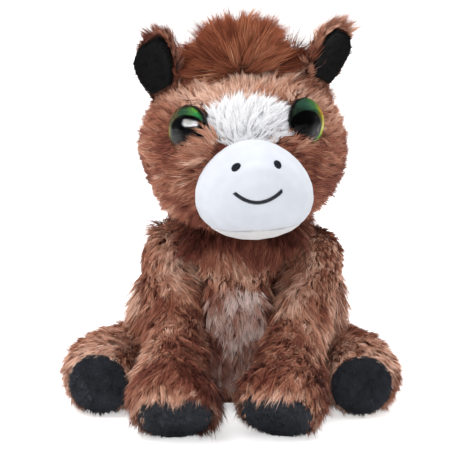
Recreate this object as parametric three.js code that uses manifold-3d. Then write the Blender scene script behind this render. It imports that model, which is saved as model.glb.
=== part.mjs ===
// Seated plush horse: sewn plush skins over fibre filling, with domed safety eyes, a smooth muzzle,
// nap soles, a long-pile forelock, mane and tail. Millimetres, +Z up, the face looks along -Y.
// +X is the viewer's right. Every skin is a shell, open where its seam joins the next skin.
import * as THREE from 'three';
import { ConvexGeometry } from 'three/addons/geometries/ConvexGeometry.js';
import { mergeVertices } from 'three/addons/utils/BufferGeometryUtils.js';
import Module from 'manifold-3d';

const wasm = await Module();
wasm.setup();

// Fits and fabrics
const clearance = 0.3; // between two pieces that touch
const swingClearance = 0.8; // between the torso and a limb that swings in its socket
const plushThickness = 4.5; // backing and pile of the long plush
const smoothThickness = 3; // backing and pile of the smooth muzzle plush
const floorFlat = 0.5; // how far the weight flattens the seat and the feet
const overrun = 4; // how far a cutter runs past what it cuts

// Torso: a pear with a flat seat that leans towards the neck
const torsoHeight = 121;
const torsoHalfWidth = 61;
const torsoHalfDepth = 48;
const seatShiftX = -2.5; // middle of the seat, seen from the front
const neckShiftX = 6; // middle of the neck
const neckShiftY = -8;
const neckHeightShare = 0.893; // of the torso's height
const neckHeight = torsoHeight * neckHeightShare; // where the head's seam lies
const neckOpeningRadius = 22;
const torsoProfileShares = [
  // height, half width, half depth
  [0, 0.54, 0.57],
  [0.03, 0.73, 0.74],
  [0.11, 0.91, 0.91],
  [0.25, 1, 0.99],
  [0.42, 1, 1],
  [0.58, 0.98, 0.97],
  [0.72, 0.87, 0.9],
  [0.82, 0.73, 0.82],
  [0.893, 0.59, 0.75],
  [0.945, 0.5, 0.64],
  [0.985, 0.32, 0.4],
];
const fineTorsoSides = 26;
const coarseTorsoSides = 16;
const bellyPanelHalfWidth = 26;
const bellyPanelHalfHeight = 33;
const bellyPanelHeight = 48; // middle of the panel above the floor
const pelletBagRadius = 24;
const pelletBagHeight = 17;
const bagFootShare = 0.8; // of the bag's radius, where it lies on the seat

// Front legs: ball-rooted at the shoulders, reaching down and forward to the floor
const shoulderHalfSpan = 41;
const shoulderY = -12;
const frontLegRootRadius = 20;
const frontLegReach = 88; // from the shoulder forward to the sole
const frontLegDrop = 68; // from the shoulder down to the middle of the sole
const frontFootRadius = 26;
const frontSoleRadius = 20.5;
const frontSoleTiltDeg = 40; // how far the sole looks down
const frontToeInDeg = { left: 2.5, right: 14.5 };
const frontLiftDeg = 30; // how far a front leg can be raised
const frontLegRadiusShares = [
  // along the leg, radius as a share of the way from the root's to the foot's
  [0, 0],
  [0.3, -0.6],
  [0.58, -0.3],
  [0.8, 0.9],
  [0.92, 0.92],
  [1, 0.45],
];
const frontLegSagShare = 0.012; // how far the leg sags below a straight line, by its length

// Hind legs: ball-rooted at the hips, reaching outward, with the soles looking forward
const hipHalfSpan = 39.5;
const hipY = 9;
const hindLegRootRadius = 18;
const hindFootRadius = 23.5;
const hindSoleRadius = 18;
const hindLegOut = 38; // from the hip out to the sole
const hindLegForward = 59; // from the hip forward to the sole
const hindLegDrop = 7;
const hindToeInDeg = { left: 0, right: 5 };
const hindSpreadDeg = 25; // how far a hind leg can be spread
const hindLegPathShares = [
  // outward, forward, down
  [0, 0, 0],
  [0.58, 0.24, 0.3],
  [0.92, 0.6, 0.66],
  [1, 1, 1],
];
const hindLegRadiusShares = [
  [0, 0],
  [0.4, 0.4],
  [0.7, 0.9],
  [0.88, 0.75],
  [1, -0.3],
];

const fineLimb = { sides: 16, steps: 8, ballSteps: 4 };
const coarseLimb = { sides: 12, steps: 5, ballSteps: 3 };
const limbOpeningRadius = 9; // through the root, where the filling passes
const solePadThickness = 3;
const swingSteps = 2; // places in a limb's swing where its room is cut
const frontLegWaistShare = 0.5; // of the leg's length, where it is thin and its room is split
const waistOverlapShare = 0.1; // either way of the waist, in both parts of the room

// Head: a wide, soft block on the neck, in a frame that starts at the neck
const headTurnDeg = 5; // towards the viewer's right
const headRollDeg = 3; // the viewer's right side is the higher one
const headHalfWidth = 60;
const headHalfDepth = 51;
const headHalfHeight = 48;
const headMiddleHeight = 43; // above the neck seam
const headMiddleY = -6;
const headFullnessShare = 0.84; // 1 is an ellipsoid, less is squarer
const fineHead = { sides: 26, steps: 13 };
const coarseHead = { sides: 18, steps: 10 };

// Muzzle: a smooth pear-shaped cap, with a separate panel under the chin
const muzzleHalfWidth = 32;
const muzzleHalfHeight = 27;
const muzzleLength = 62;
const muzzleBackY = -38;
const muzzleMiddleHeight = 29.5; // above the neck seam
const muzzlePearShare = 0.17; // how much narrower the top is
const muzzleProfileShares = [
  // along the muzzle from its back, half width and half height
  [0, 0.9, 0.86],
  [0.25, 0.97, 0.95],
  [0.45, 1, 1],
  [0.64, 0.96, 0.95],
  [0.8, 0.84, 0.82],
  [0.91, 0.63, 0.61],
  [0.98, 0.32, 0.3],
];
const muzzleSides = 24;
const chinSeamDrop = 18; // from the muzzle's middle down to the chin seam
const nostrilHalfWidth = 2.4;
const nostrilHalfHeight = 2.6;
const nostrilSpacing = 22.4;
const nostrilRise = 17; // above the muzzle's middle
const threadHeight = 0.9; // of the satin stitches above the plush
const mouthHalfWidth = 12.8;
const mouthDrop = 5.2;
const mouthRise = 5; // its ends, above the muzzle's middle
const mouthThreadRadius = 1;

// Blaze: a white long-pile patch between the eyes
const blazeHalfWidth = 25;
const blazeHalfHeight = 14.5;
const blazeHeight = 64; // its middle, above the neck seam

// Safety eyes: clear dome, iris disc, back plate with a ribbed stem, and the washer inside
const eyeRadius = 13.5;
const eyeDomeHeight = 7.5;
const irisThickness = 0.5;
const eyePlateThickness = 1.4;
const eyeStemRadius = 2.8;
const eyeStemLength = 12;
const eyeStemRib = 0.4;
const eyeStemRibs = 3;
const washerRadius = 8;
const washerThickness = 1.4;
const eyeSpacing = 65.5; // between the middles of the two eyes, straight across
const eyeHeight = 62; // above the neck seam
const eyeOutwardDeg = 40;
const eyeUpwardDeg = 10;
const eyeSink = 0.9; // of the plate into the pile
const roundSides = 20;
const stemSides = 12;

// Ears: cupped leaves with a nap lining, on a soft fold at the base
const earHeight = 37;
const earHalfWidth = 16;
const earThickness = 4.5;
const earLiningThickness = 1.8;
const earLiningInset = 3;
const earRootRadius = 3.2;
const earSpacing = 85;
const earY = -4; // from the head's middle
const earSinkDepth = 1.2;
const earOutwardDeg = 38; // the way the lining looks
const earSlantDeg = 34; // of the root fold, along the slope of the head
const earLeanShare = 0.42; // how far the ear leans back in from there, by its height
const earCup = 5; // how far the edges curl forward
const earOutlineShares = [
  // height, half width
  [0, 0.58],
  [0.3, 0.88],
  [0.6, 1],
  [0.86, 0.94],
  [1, 0.6],
];

// Forelock, mane and tail: long pile
const forelockHalfWidth = 35;
const forelockHalfDepth = 24;
const forelockHalfHeight = 22;
const forelockY = -3; // from the head's middle
const forelockLift = 2; // of its middle above the crown
const maneRadius = 13;
const maneStartDeg = 62; // above level, round the back of the head
const maneEndDeg = -28;
const maneLift = 1; // of the mane's middle line out of the head's surface
const tailRootHeight = 43;
const tailRootRadius = 5;
const tailReach = 24; // how far the tail stands back
const tailDrop = 29;
const tailRadius = 9;
const tailSeatDepth = 2;

const toRad = THREE.MathUtils.degToRad;
const sideSigns = { left: -1, right: 1 };

// Colours of the fabrics and plastics
const chestnut = { color: 0x7d4a36, roughness: 0.95, metalness: 0 };
const bellyBrown = { color: 0x5e3a30, roughness: 0.95, metalness: 0 };
const maneBrown = { color: 0x7a3f2c, roughness: 0.9, metalness: 0 };
const white = { color: 0xeef1f6, roughness: 0.9, metalness: 0 };
const napBlack = { color: 0x15171b, roughness: 0.95, metalness: 0 };
const thread = { color: 0x11131c, roughness: 0.6, metalness: 0 };
const fibre = { color: 0xf4f4f2, roughness: 1, metalness: 0 };
const bagCloth = { color: 0xd9d6cf, roughness: 0.9, metalness: 0 };
const clearDome = { color: 0xf2f6f4, roughness: 0.05, metalness: 0 };
const irisFoil = { color: 0x6f8a2a, roughness: 0.3, metalness: 0.2 };
const blackPlastic = { color: 0x101114, roughness: 0.45, metalness: 0 };
const washerPlastic = { color: 0xe7e7e3, roughness: 0.5, metalness: 0 };

// A smooth curve through a table of shares, read at one place along it
function shareAt(table, place, column = 1) {
  let i = 0;
  while (i < table.length - 2 && place > table[i + 1][0]) {
    i += 1;
  }
  const knot = (k) => table[Math.min(Math.max(k, 0), table.length - 1)];
  const [before, start, end, after] = [knot(i - 1), knot(i), knot(i + 1), knot(i + 2)];
  const span = end[0] - start[0];
  const t = (place - start[0]) / span;
  const slope = (a, b) => ((b[column] - a[column]) / (b[0] - a[0])) * span;
  const m0 = slope(before === start ? start : before, end);
  const m1 = slope(start, after === end ? end : after);
  const t2 = t * t;
  const t3 = t2 * t;
  return (2 * t3 - 3 * t2 + 1) * start[column] + (t3 - 2 * t2 + t) * m0
    + (-2 * t3 + 3 * t2) * end[column] + (t3 - t2) * m1;
}

// Six times the volume that a surface's triangles enclose, negative where they face inwards
function signedVolume(positions, index) {
  const corner = (k) => new THREE.Vector3().fromArray(positions, 3 * index[k]);
  let sum = 0;
  for (let k = 0; k < index.length; k += 3) {
    sum += corner(k).dot(corner(k + 1).cross(corner(k + 2)));
  }
  return sum;
}

// A closed surface with shared corners, no triangle without area, and its faces pointing out
function closedSurface(positions, index) {
  const kept = [];
  for (let k = 0; k < index.length; k += 3) {
    const [a, b, c] = [index[k], index[k + 1], index[k + 2]];
    if (a !== b && b !== c && c !== a) {
      kept.push(a, b, c);
    }
  }
  if (signedVolume(positions, kept) < 0) {
    kept.reverse();
  }
  const geometry = new THREE.BufferGeometry();
  geometry.setAttribute('position', new THREE.Float32BufferAttribute(positions, 3));
  geometry.setIndex(kept);
  return geometry;
}

// A geometry with shared corners and nothing but positions
function weld(geometry) {
  const bare = geometry.clone();
  bare.deleteAttribute('normal');
  bare.deleteAttribute('uv');
  const merged = mergeVertices(bare);
  return closedSurface([...merged.getAttribute('position').array], [...merged.getIndex().array]);
}

// A closed soft form from rings of points, with a single point at each end
function formFromRings(rings, firstPole, lastPole) {
  const sides = rings[0].length;
  const points = [...rings.flat(), firstPole, lastPole];
  const positions = points.flatMap((p) => [p.x, p.y, p.z]);
  const first = points.length - 2;
  const last = points.length - 1;
  const index = [];
  for (let j = 0; j < sides; j += 1) {
    const next = (j + 1) % sides;
    index.push(first, next, j);
    for (let i = 0; i < rings.length - 1; i += 1) {
      const a = i * sides + j;
      const b = i * sides + next;
      index.push(a, b, b + sides, a, b + sides, a + sides);
    }
    const base = (rings.length - 1) * sides;
    index.push(last, base + j, base + next);
  }
  return closedSurface(positions, index);
}

// The same form with its surface moved out by a distance, or in by a negative one
function offsetForm(form, distance) {
  const grown = form.clone();
  grown.computeVertexNormals();
  const position = grown.getAttribute('position');
  const normal = grown.getAttribute('normal');
  for (let k = 0; k < position.count; k += 1) {
    position.setXYZ(
      k,
      position.getX(k) + distance * normal.getX(k),
      position.getY(k) + distance * normal.getY(k),
      position.getZ(k) + distance * normal.getZ(k),
    );
  }
  grown.deleteAttribute('normal');
  return grown;
}

// A solid for joining and cutting, from a closed geometry placed by a matrix
function solidOf(geometry, matrix = new THREE.Matrix4()) {
  const welded = weld(geometry);
  welded.applyMatrix4(matrix);
  return new wasm.Manifold(new wasm.Mesh({
    numProp: 3,
    vertProperties: new Float32Array(welded.getAttribute('position').array),
    triVerts: new Uint32Array(welded.getIndex().array),
  }));
}

// The solid with every cutter taken away
function cut(solid, ...cutters) {
  return cutters.flat().reduce((rest, cutter) => rest.subtract(cutter), solid);
}

// The solid's surface as a geometry
function geometryOf(solid) {
  const mesh = solid.getMesh();
  const geometry = new THREE.BufferGeometry();
  geometry.setAttribute('position', new THREE.BufferAttribute(mesh.vertProperties, 3));
  geometry.setIndex(new THREE.BufferAttribute(mesh.triVerts, 1));
  return geometry;
}

// A box between two corners
function boxBetween(low, high) {
  const size = new THREE.Vector3().subVectors(high, low);
  const box = new THREE.BoxGeometry(size.x, size.y, size.z);
  box.translate((low.x + high.x) / 2, (low.y + high.y) / 2, (low.z + high.z) / 2);
  return box;
}

// A turned solid along +Z from a closed outline of radius and height pairs
function turned(outline, sides = roundSides) {
  const lathe = new THREE.LatheGeometry(outline.map(([r, h]) => new THREE.Vector2(r, h)), sides);
  lathe.rotateX(Math.PI / 2);
  return weld(lathe);
}

// A plain round bar along +Z between two heights
function bar(radius, low, high, sides = roundSides) {
  return turned([[0, low], [radius, low], [radius, high], [0, high]], sides);
}

// A flat outline in X and Z, made solid from one Y to another
function prismAlongY(shape, fromY, toY, steps) {
  const prism = new THREE.ExtrudeGeometry(shape, {
    depth: toY - fromY, bevelEnabled: false, curveSegments: steps,
  });
  prism.rotateX(Math.PI / 2);
  prism.translate(0, toY, 0);
  return prism;
}

// An upright oval outline
function oval(x, z, halfWidth, halfHeight) {
  const shape = new THREE.Shape();
  shape.absellipse(x, z, halfWidth, halfHeight, 0, 2 * Math.PI, false, 0);
  return shape;
}

// One named mesh of one fabric or plastic
function piece(name, geometry, finish) {
  const mesh = new THREE.Mesh(geometry, new THREE.MeshStandardMaterial(finish));
  mesh.name = name;
  return mesh;
}

// Everything below the floor, which flattens what rests on it
function belowFloor() {
  const reach = torsoHeight + frontLegReach + hindLegOut;
  return solidOf(boxBetween(
    new THREE.Vector3(-reach, -reach, -overrun - frontFootRadius),
    new THREE.Vector3(reach, reach, 0),
  ));
}
const underFloor = belowFloor();

// Torso

// The pear of the torso; its seat starts just under the floor, to be flattened by it
function torsoForm(sides) {
  const rings = torsoProfileShares.map(([heightShare, widthShare, depthShare]) => {
    const height = heightShare * torsoHeight;
    const middle = torsoMiddle(height);
    return Array.from({ length: sides }, (_, j) => {
      const angle = (2 * Math.PI * j) / sides;
      return new THREE.Vector3(
        middle.x + torsoHalfWidth * widthShare * Math.cos(angle),
        middle.y + torsoHalfDepth * depthShare * Math.sin(angle),
        height - floorFlat,
      );
    });
  });
  const top = torsoMiddle(torsoHeight);
  return formFromRings(
    rings,
    new THREE.Vector3(seatShiftX, 0, -floorFlat),
    new THREE.Vector3(top.x, top.y, torsoHeight),
  );
}

// The middle of the torso at a height
function torsoMiddle(height) {
  const rise = Math.min(height / neckHeight, 1);
  return new THREE.Vector3(seatShiftX + (neckShiftX - seatShiftX) * rise, neckShiftY * rise, height);
}

const torsoOuter = torsoForm(fineTorsoSides);
const torsoCore = torsoForm(coarseTorsoSides);

// Limbs

// Rings round a path, with a ball at its start and a flat end, in the limb's own frame
function limbForm(path, radiusAt, sideVector, rootRadius, detail) {
  const rings = [];
  const ringAt = (middle, tangent, radius) => {
    const across = new THREE.Vector3().crossVectors(tangent, sideVector).normalize();
    const side = new THREE.Vector3().crossVectors(across, tangent).normalize();
    return Array.from({ length: detail.sides }, (_, j) => {
      const angle = (2 * Math.PI * j) / detail.sides;
      return middle.clone()
        .addScaledVector(side, radius * Math.cos(angle))
        .addScaledVector(across, radius * Math.sin(angle));
    });
  };
  const start = path.getPoint(0);
  const heading = path.getTangent(0);
  for (let k = 1; k < detail.ballSteps; k += 1) {
    const angle = (Math.PI / 2) * (1 - k / detail.ballSteps);
    const middle = start.clone().addScaledVector(heading, -rootRadius * Math.sin(angle));
    rings.push(ringAt(middle, heading, rootRadius * Math.cos(angle)));
  }
  for (let k = 0; k <= detail.steps; k += 1) {
    const t = k / detail.steps;
    rings.push(ringAt(path.getPoint(t), path.getTangent(t), radiusAt(t)));
  }
  const pole = start.clone().addScaledVector(heading, -rootRadius);
  return formFromRings(rings, pole, path.getPoint(1));
}

// A bar through the root, where the filling passes from the torso into the limb
function rootOpening(path, rootRadius) {
  const opening = bar(limbOpeningRadius, 0, rootRadius + overrun, stemSides);
  const back = path.getTangent(0).negate();
  opening.applyQuaternion(new THREE.Quaternion().setFromUnitVectors(new THREE.Vector3(0, 0, 1), back));
  return opening;
}

// Where a limb's sole looks, as a placement of its outer face
function solePlacement(path) {
  const facing = new THREE.Quaternion().setFromUnitVectors(new THREE.Vector3(0, 0, 1), path.getTangent(1));
  return new THREE.Matrix4().compose(path.getPoint(1), facing, new THREE.Vector3(1, 1, 1));
}

// The skin, filling and sole of one limb, in the frame of the limb's root
function limbPieces(name, group, limb) {
  const { path, form, core, rootRadius, soleRadius } = limb;
  const placement = group.matrix;
  const home = placement.clone().invert();
  const hollow = solidOf(offsetForm(core, -plushThickness), placement);
  const stuffing = solidOf(offsetForm(core, -plushThickness - clearance), placement);
  const opening = solidOf(rootOpening(path, rootRadius), placement);
  const sole = placement.clone().multiply(solePlacement(path));
  const soleOpening = solidOf(
    bar(soleRadius - plushThickness / 2, -2 * plushThickness, overrun, stemSides), sole,
  );
  const skin = cut(solidOf(form, placement), hollow, opening, soleOpening, underFloor);
  const pad = solidOf(turned([
    [0, clearance],
    [soleRadius, clearance],
    [soleRadius, clearance + solePadThickness / 2],
    [soleRadius - solePadThickness / 2, clearance + solePadThickness * 0.9],
    [0, clearance + solePadThickness],
  ]), sole);
  const plug = solidOf(bar(
    soleRadius - plushThickness / 2 - clearance, -2 * plushThickness, 0, stemSides,
  ), sole).intersect(solidOf(form, placement));
  const passing = solidOf(offsetForm(form, -clearance), placement)
    .intersect(solidOf(offsetForm(rootOpening(path, rootRadius), -clearance), placement));
  const filling = stuffing.add(plug).add(passing);
  const local = (solid) => geometryOf(solid).applyMatrix4(home);
  group.add(
    piece(`${name}_skin`, local(skin), chestnut),
    piece(`${name}_filling`, local(cut(filling, underFloor)), fibre),
    piece(`${name}_sole`, local(cut(pad, underFloor)), napBlack),
  );
}

// A front leg's middle line, radius and form
function frontLeg() {
  const end = new THREE.Vector3(0, -frontLegReach, -frontLegDrop);
  const length = end.length();
  const down = new THREE.Vector3(0, -frontLegDrop, frontLegReach).normalize().negate();
  const soleHeading = new THREE.Vector3(
    0, -Math.cos(toRad(frontSoleTiltDeg)), -Math.sin(toRad(frontSoleTiltDeg)),
  );
  const along = (share) => end.clone().multiplyScalar(share);
  const sag = (share, amountShare) => along(share).addScaledVector(down, length * amountShare);
  const beforeSole = end.clone().addScaledVector(soleHeading, -length * 0.18);
  const path = new THREE.CatmullRomCurve3([
    new THREE.Vector3(),
    sag(0.3, frontLegSagShare),
    sag(0.58, frontLegSagShare),
    beforeSole,
    end,
  ]);
  const radiusAt = (t) => frontLegRootRadius
    + (frontFootRadius - frontLegRootRadius) * shareAt(frontLegRadiusShares, t);
  const shape = (detail) => (
    limbForm(path, radiusAt, new THREE.Vector3(1, 0, 0), frontLegRootRadius, detail)
  );
  return {
    path,
    form: shape(fineLimb),
    core: shape(coarseLimb),
    rootRadius: frontLegRootRadius,
    soleRadius: frontSoleRadius,
  };
}

// A hind leg's middle line, radius and form, mirrored by its side
function hindLeg(sign) {
  const path = new THREE.CatmullRomCurve3(hindLegPathShares.map(([out, forward, down]) => (
    new THREE.Vector3(sign * out * hindLegOut, -forward * hindLegForward, -down * hindLegDrop)
  )));
  const radiusAt = (t) => hindLegRootRadius
    + (hindFootRadius - hindLegRootRadius) * shareAt(hindLegRadiusShares, t);
  const shape = (detail) => (
    limbForm(path, radiusAt, new THREE.Vector3(0, 0, 1), hindLegRootRadius, detail)
  );
  return {
    path,
    form: shape(fineLimb),
    core: shape(coarseLimb),
    rootRadius: hindLegRootRadius,
    soleRadius: hindSoleRadius,
  };
}

// The group of one limb, placed at its root
function limbGroup(x, y, z, turnDeg) {
  const group = new THREE.Group();
  group.position.set(x, y, z);
  group.rotation.z = toRad(turnDeg);
  group.updateMatrix();
  return group;
}

// The height of a limb's root when its lowest point presses into the floor
function rootHeight(form) {
  form.computeBoundingBox();
  return -form.boundingBox.min.z - floorFlat;
}

// The room that a limb needs in the torso while it swings: the hull of the limb over its swing,
// or two hulls that meet at its waist, so that a limb with a waist takes no more than it must
function sweptRoom(limb, group, axis, rangeDeg, waistShare = 0) {
  const grown = offsetForm(limb.core, 2 * swingClearance).getAttribute('position');
  const length = limb.path.getPoint(1).length();
  const whole = [];
  const near = [];
  const far = [];
  for (let step = 0; step <= swingSteps; step += 1) {
    const angle = toRad((rangeDeg * step) / swingSteps);
    for (let k = 0; k < grown.count; k += 1) {
      const corner = new THREE.Vector3().fromBufferAttribute(grown, k).applyAxisAngle(axis, angle);
      const share = corner.length() / length;
      whole.push(corner);
      if (share < waistShare + waistOverlapShare) near.push(corner);
      if (share > waistShare - waistOverlapShare) far.push(corner);
    }
  }
  const hull = (corners) => solidOf(new ConvexGeometry(corners), group.matrix);
  return waistShare ? hull(near).add(hull(far)) : hull(whole);
}

// The front legs lift about a level axis, the hind legs spread about an upright one
const limbs = [];
for (const [side, sign] of Object.entries(sideSigns)) {
  const front = frontLeg();
  const shoulderHeight = rootHeight(front.form);
  const shoulder = torsoMiddle(shoulderHeight).x + sign * shoulderHalfSpan;
  const frontGroup = limbGroup(shoulder, shoulderY, shoulderHeight, -sign * frontToeInDeg[side]);
  const frontRoom = sweptRoom(front, frontGroup, new THREE.Vector3(-1, 0, 0), frontLiftDeg, frontLegWaistShare);
  limbs.push({ name: `front_leg_${side}`, limb: front, group: frontGroup, room: frontRoom });
  const hind = hindLeg(sign);
  const hipHeight = rootHeight(hind.form);
  const hip = torsoMiddle(hipHeight).x + sign * hipHalfSpan;
  const hindGroup = limbGroup(hip, hipY, hipHeight, -sign * hindToeInDeg[side]);
  const hindRoom = sweptRoom(hind, hindGroup, new THREE.Vector3(0, 0, sign), hindSpreadDeg);
  limbs.push({ name: `hind_leg_${side}`, limb: hind, group: hindGroup, room: hindRoom });
}

// Tail

// The tail's form in the frame of its root: a ball in the torso, then a hanging tuft
function tailForm() {
  const path = new THREE.CatmullRomCurve3([
    new THREE.Vector3(),
    new THREE.Vector3(0, tailReach * 0.6, -tailDrop * 0.2),
    new THREE.Vector3(0, tailReach * 0.95, -tailDrop * 0.6),
    new THREE.Vector3(0, tailReach, -tailDrop),
  ]);
  const radiusAt = (t) => tailRootRadius
    + (tailRadius - tailRootRadius) * Math.sin(Math.PI * Math.min(t * 0.8, 1));
  return limbForm(path, radiusAt, new THREE.Vector3(1, 0, 0), tailRootRadius, coarseLimb);
}

// The torso's back at a height, where the tail is sewn on
function backOfTorso(height) {
  const share = shareAt(torsoProfileShares, (height + floorFlat) / torsoHeight, 2);
  return torsoMiddle(height).y + torsoHalfDepth * share;
}

const tailGroup = limbGroup(
  torsoMiddle(tailRootHeight).x, backOfTorso(tailRootHeight) + tailSeatDepth, tailRootHeight, 0,
);
tailGroup.add(piece('tail', tailForm(), maneBrown));
const tailRoom = solidOf(offsetForm(tailForm(), clearance), tailGroup.matrix);

// The torso's own pieces
function torsoPieces(group) {
  const rooms = limbs.map(({ room }) => room);
  const neckOpening = bar(neckOpeningRadius, neckHeight - overrun, torsoHeight + overrun);
  neckOpening.translate(neckShiftX, neckShiftY, 0);
  const shell = cut(
    solidOf(torsoOuter),
    solidOf(offsetForm(torsoCore, -plushThickness)),
    rooms,
    tailRoom,
    solidOf(neckOpening),
    underFloor,
  );
  const panelOutline = (gap) => oval(
    torsoMiddle(bellyPanelHeight).x, bellyPanelHeight,
    bellyPanelHalfWidth - gap, bellyPanelHalfHeight - gap,
  );
  const panelWindow = (gap) => solidOf(
    prismAlongY(panelOutline(gap), -torsoHalfDepth - 3 * overrun, 0, 8),
  );
  const bag = new THREE.SphereGeometry(1, 16, 8);
  bag.rotateX(Math.PI / 2);
  bag.scale(pelletBagRadius, pelletBagRadius, pelletBagHeight / 2);
  const bagMiddle = plushThickness - floorFlat + clearance + pelletBagHeight / 2;
  bag.translate(seatShiftX, 0, bagMiddle);
  const bagForm = weld(bag);
  const bagShaft = bar(pelletBagRadius * bagFootShare, 0, bagMiddle, 16);
  bagShaft.translate(seatShiftX, 0, 0);
  const bagRoom = [solidOf(offsetForm(bagForm, clearance)), solidOf(bagShaft)];
  const filling = cut(
    solidOf(offsetForm(torsoCore, -plushThickness - clearance)),
    rooms,
    tailRoom,
    bagRoom,
  );
  group.add(
    piece('body_skin', geometryOf(cut(shell, panelWindow(0))), chestnut),
    piece('belly_panel', geometryOf(shell.intersect(panelWindow(clearance))), bellyBrown),
    piece('body_filling', geometryOf(filling), fibre),
    piece('pellet_bag', bagForm, bagCloth),
  );
}

// Head

// A wide soft block: rings over the height, fuller than an ellipsoid
function headForm({ sides, steps }) {
  const rings = [];
  for (let k = 1; k < steps; k += 1) {
    const climb = Math.PI * (k / steps - 0.5);
    const spread = Math.cos(climb) ** headFullnessShare;
    rings.push(Array.from({ length: sides }, (_, j) => {
      const angle = (2 * Math.PI * j) / sides;
      return new THREE.Vector3(
        headHalfWidth * spread * Math.cos(angle),
        headMiddleY + headHalfDepth * spread * Math.sin(angle),
        headMiddleHeight + headHalfHeight * Math.sin(climb),
      );
    }));
  }
  return formFromRings(
    rings,
    new THREE.Vector3(0, headMiddleY, headMiddleHeight - headHalfHeight),
    new THREE.Vector3(0, headMiddleY, headMiddleHeight + headHalfHeight),
  );
}

// The muzzle's pear-shaped cap: rings from inside the head forward to the tip
function muzzleForm() {
  const rings = muzzleProfileShares.map(([along, widthShare, heightShare]) => (
    Array.from({ length: muzzleSides }, (_, j) => {
      const angle = (2 * Math.PI * j) / muzzleSides;
      const rise = Math.sin(angle);
      const pear = 1 - muzzlePearShare * rise;
      return new THREE.Vector3(
        muzzleHalfWidth * widthShare * Math.cos(angle) * pear,
        muzzleBackY - muzzleLength * along,
        muzzleMiddleHeight + muzzleHalfHeight * heightShare * rise,
      );
    })
  ));
  return formFromRings(
    rings,
    new THREE.Vector3(0, muzzleBackY, muzzleMiddleHeight),
    new THREE.Vector3(0, muzzleBackY - muzzleLength, muzzleMiddleHeight),
  );
}

const headOuter = headForm(fineHead);
const headCore = headForm(coarseHead);
const muzzleOuter = muzzleForm();

// The point where a line from outside first meets a form
function pointOn(form, origin, direction) {
  const mesh = new THREE.Mesh(form, new THREE.MeshBasicMaterial({ side: THREE.DoubleSide }));
  const hit = new THREE.Raycaster(origin, direction).intersectObject(mesh)[0];
  return hit.point;
}

// The place and heading of one eye, with +Z looking out of the head
function eyePlacement(sign) {
  const from = new THREE.Vector3(sign * (eyeSpacing / 2), -2 * headHalfDepth, eyeHeight);
  const seat = pointOn(headOuter, from, new THREE.Vector3(0, 1, 0));
  const outward = new THREE.Vector3(
    sign * Math.sin(toRad(eyeOutwardDeg)) * Math.cos(toRad(eyeUpwardDeg)),
    -Math.cos(toRad(eyeOutwardDeg)) * Math.cos(toRad(eyeUpwardDeg)),
    Math.sin(toRad(eyeUpwardDeg)),
  );
  const facing = new THREE.Quaternion().setFromUnitVectors(new THREE.Vector3(0, 0, 1), outward);
  return new THREE.Matrix4().compose(
    seat.addScaledVector(outward, -eyeSink), facing, new THREE.Vector3(1, 1, 1),
  );
}

// The four pieces of one eye, and the room that they take in the skin and the filling
function eyeParts() {
  const plateTop = clearance + eyePlateThickness;
  const irisLow = plateTop + clearance;
  const domeLow = irisLow + irisThickness + clearance;
  const domeOutline = [[0, domeLow], [eyeRadius, domeLow]];
  const arcSteps = 5;
  for (let k = 0; k <= arcSteps; k += 1) {
    const angle = (Math.PI / 2) * (k / arcSteps);
    const rim = domeLow + eyeDomeHeight * 0.12;
    const rise = (eyeDomeHeight * 0.88) * Math.sin(angle);
    domeOutline.push([eyeRadius * Math.cos(angle) ** 0.8, rim + rise]);
  }
  domeOutline[domeOutline.length - 1][0] = 0;
  const stemOutline = [[0, plateTop], [eyeRadius, plateTop], [eyeRadius, clearance]];
  const ribPitch = (eyeStemLength - plushThickness) / eyeStemRibs;
  stemOutline.push([eyeStemRadius, clearance]);
  for (let k = 0; k < eyeStemRibs; k += 1) {
    const depth = -plushThickness - ribPitch * k;
    stemOutline.push([eyeStemRadius, depth], [eyeStemRadius - eyeStemRib, depth - ribPitch * 0.2]);
    stemOutline.push([eyeStemRadius, depth - ribPitch * 0.7]);
  }
  stemOutline.push([eyeStemRadius - eyeStemRib, -eyeStemLength], [0, -eyeStemLength]);
  const washerTop = -plushThickness + eyeSink - clearance;
  return {
    dome: turned(domeOutline),
    iris: bar(eyeRadius - eyePlateThickness / 2, irisLow, irisLow + irisThickness),
    stem: turned(stemOutline, stemSides),
    washer: turned([
      [eyeStemRadius + clearance, washerTop],
      [washerRadius, washerTop],
      [washerRadius, washerTop - washerThickness],
      [eyeStemRadius + clearance, washerTop - washerThickness],
      [eyeStemRadius + clearance, washerTop],
    ], stemSides),
    skinRoom: [
      bar(eyeRadius + clearance, 0, eyeRadius),
      bar(eyeStemRadius + clearance, -eyeStemLength - overrun, overrun, stemSides),
      bar(washerRadius + clearance, -eyeStemLength, washerTop + clearance, stemSides),
    ],
    fillingRoom: [bar(washerRadius + clearance, -eyeStemLength - clearance, overrun, stemSides)],
  };
}

// A cupped leaf between two heights, in the frame of the ear's root fold: rows run across its
// front and back, its edges curl forward towards the tip, and it leans in over its slanting root
function earLeaf(sign, inset, low, front, back) {
  const high = earHeight - inset;
  const rows = 6;
  const across = 6;
  const place = (u, climb, thickness) => {
    const half = (earHalfWidth - inset) * shareAt(earOutlineShares, climb);
    const height = low + (high - low) * climb;
    const curl = earCup * (half * u / earHalfWidth) ** 2 * (height / earHeight);
    return new THREE.Vector3(half * u - sign * earLeanShare * height, thickness - curl, height);
  };
  const rings = Array.from({ length: rows }, (_, row) => {
    const climb = row / (rows - 1);
    const fronts = Array.from({ length: across + 1 }, (_point, k) => (
      place(-1 + (2 * k) / across, climb, front)
    ));
    const backs = Array.from({ length: across + 1 }, (_point, k) => (
      place(1 - (2 * k) / across, climb, back)
    ));
    return [...fronts, ...backs];
  });
  const middle = (front + back) / 2;
  return formFromRings(rings, place(0, 0, middle), place(0, 1, middle));
}

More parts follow.
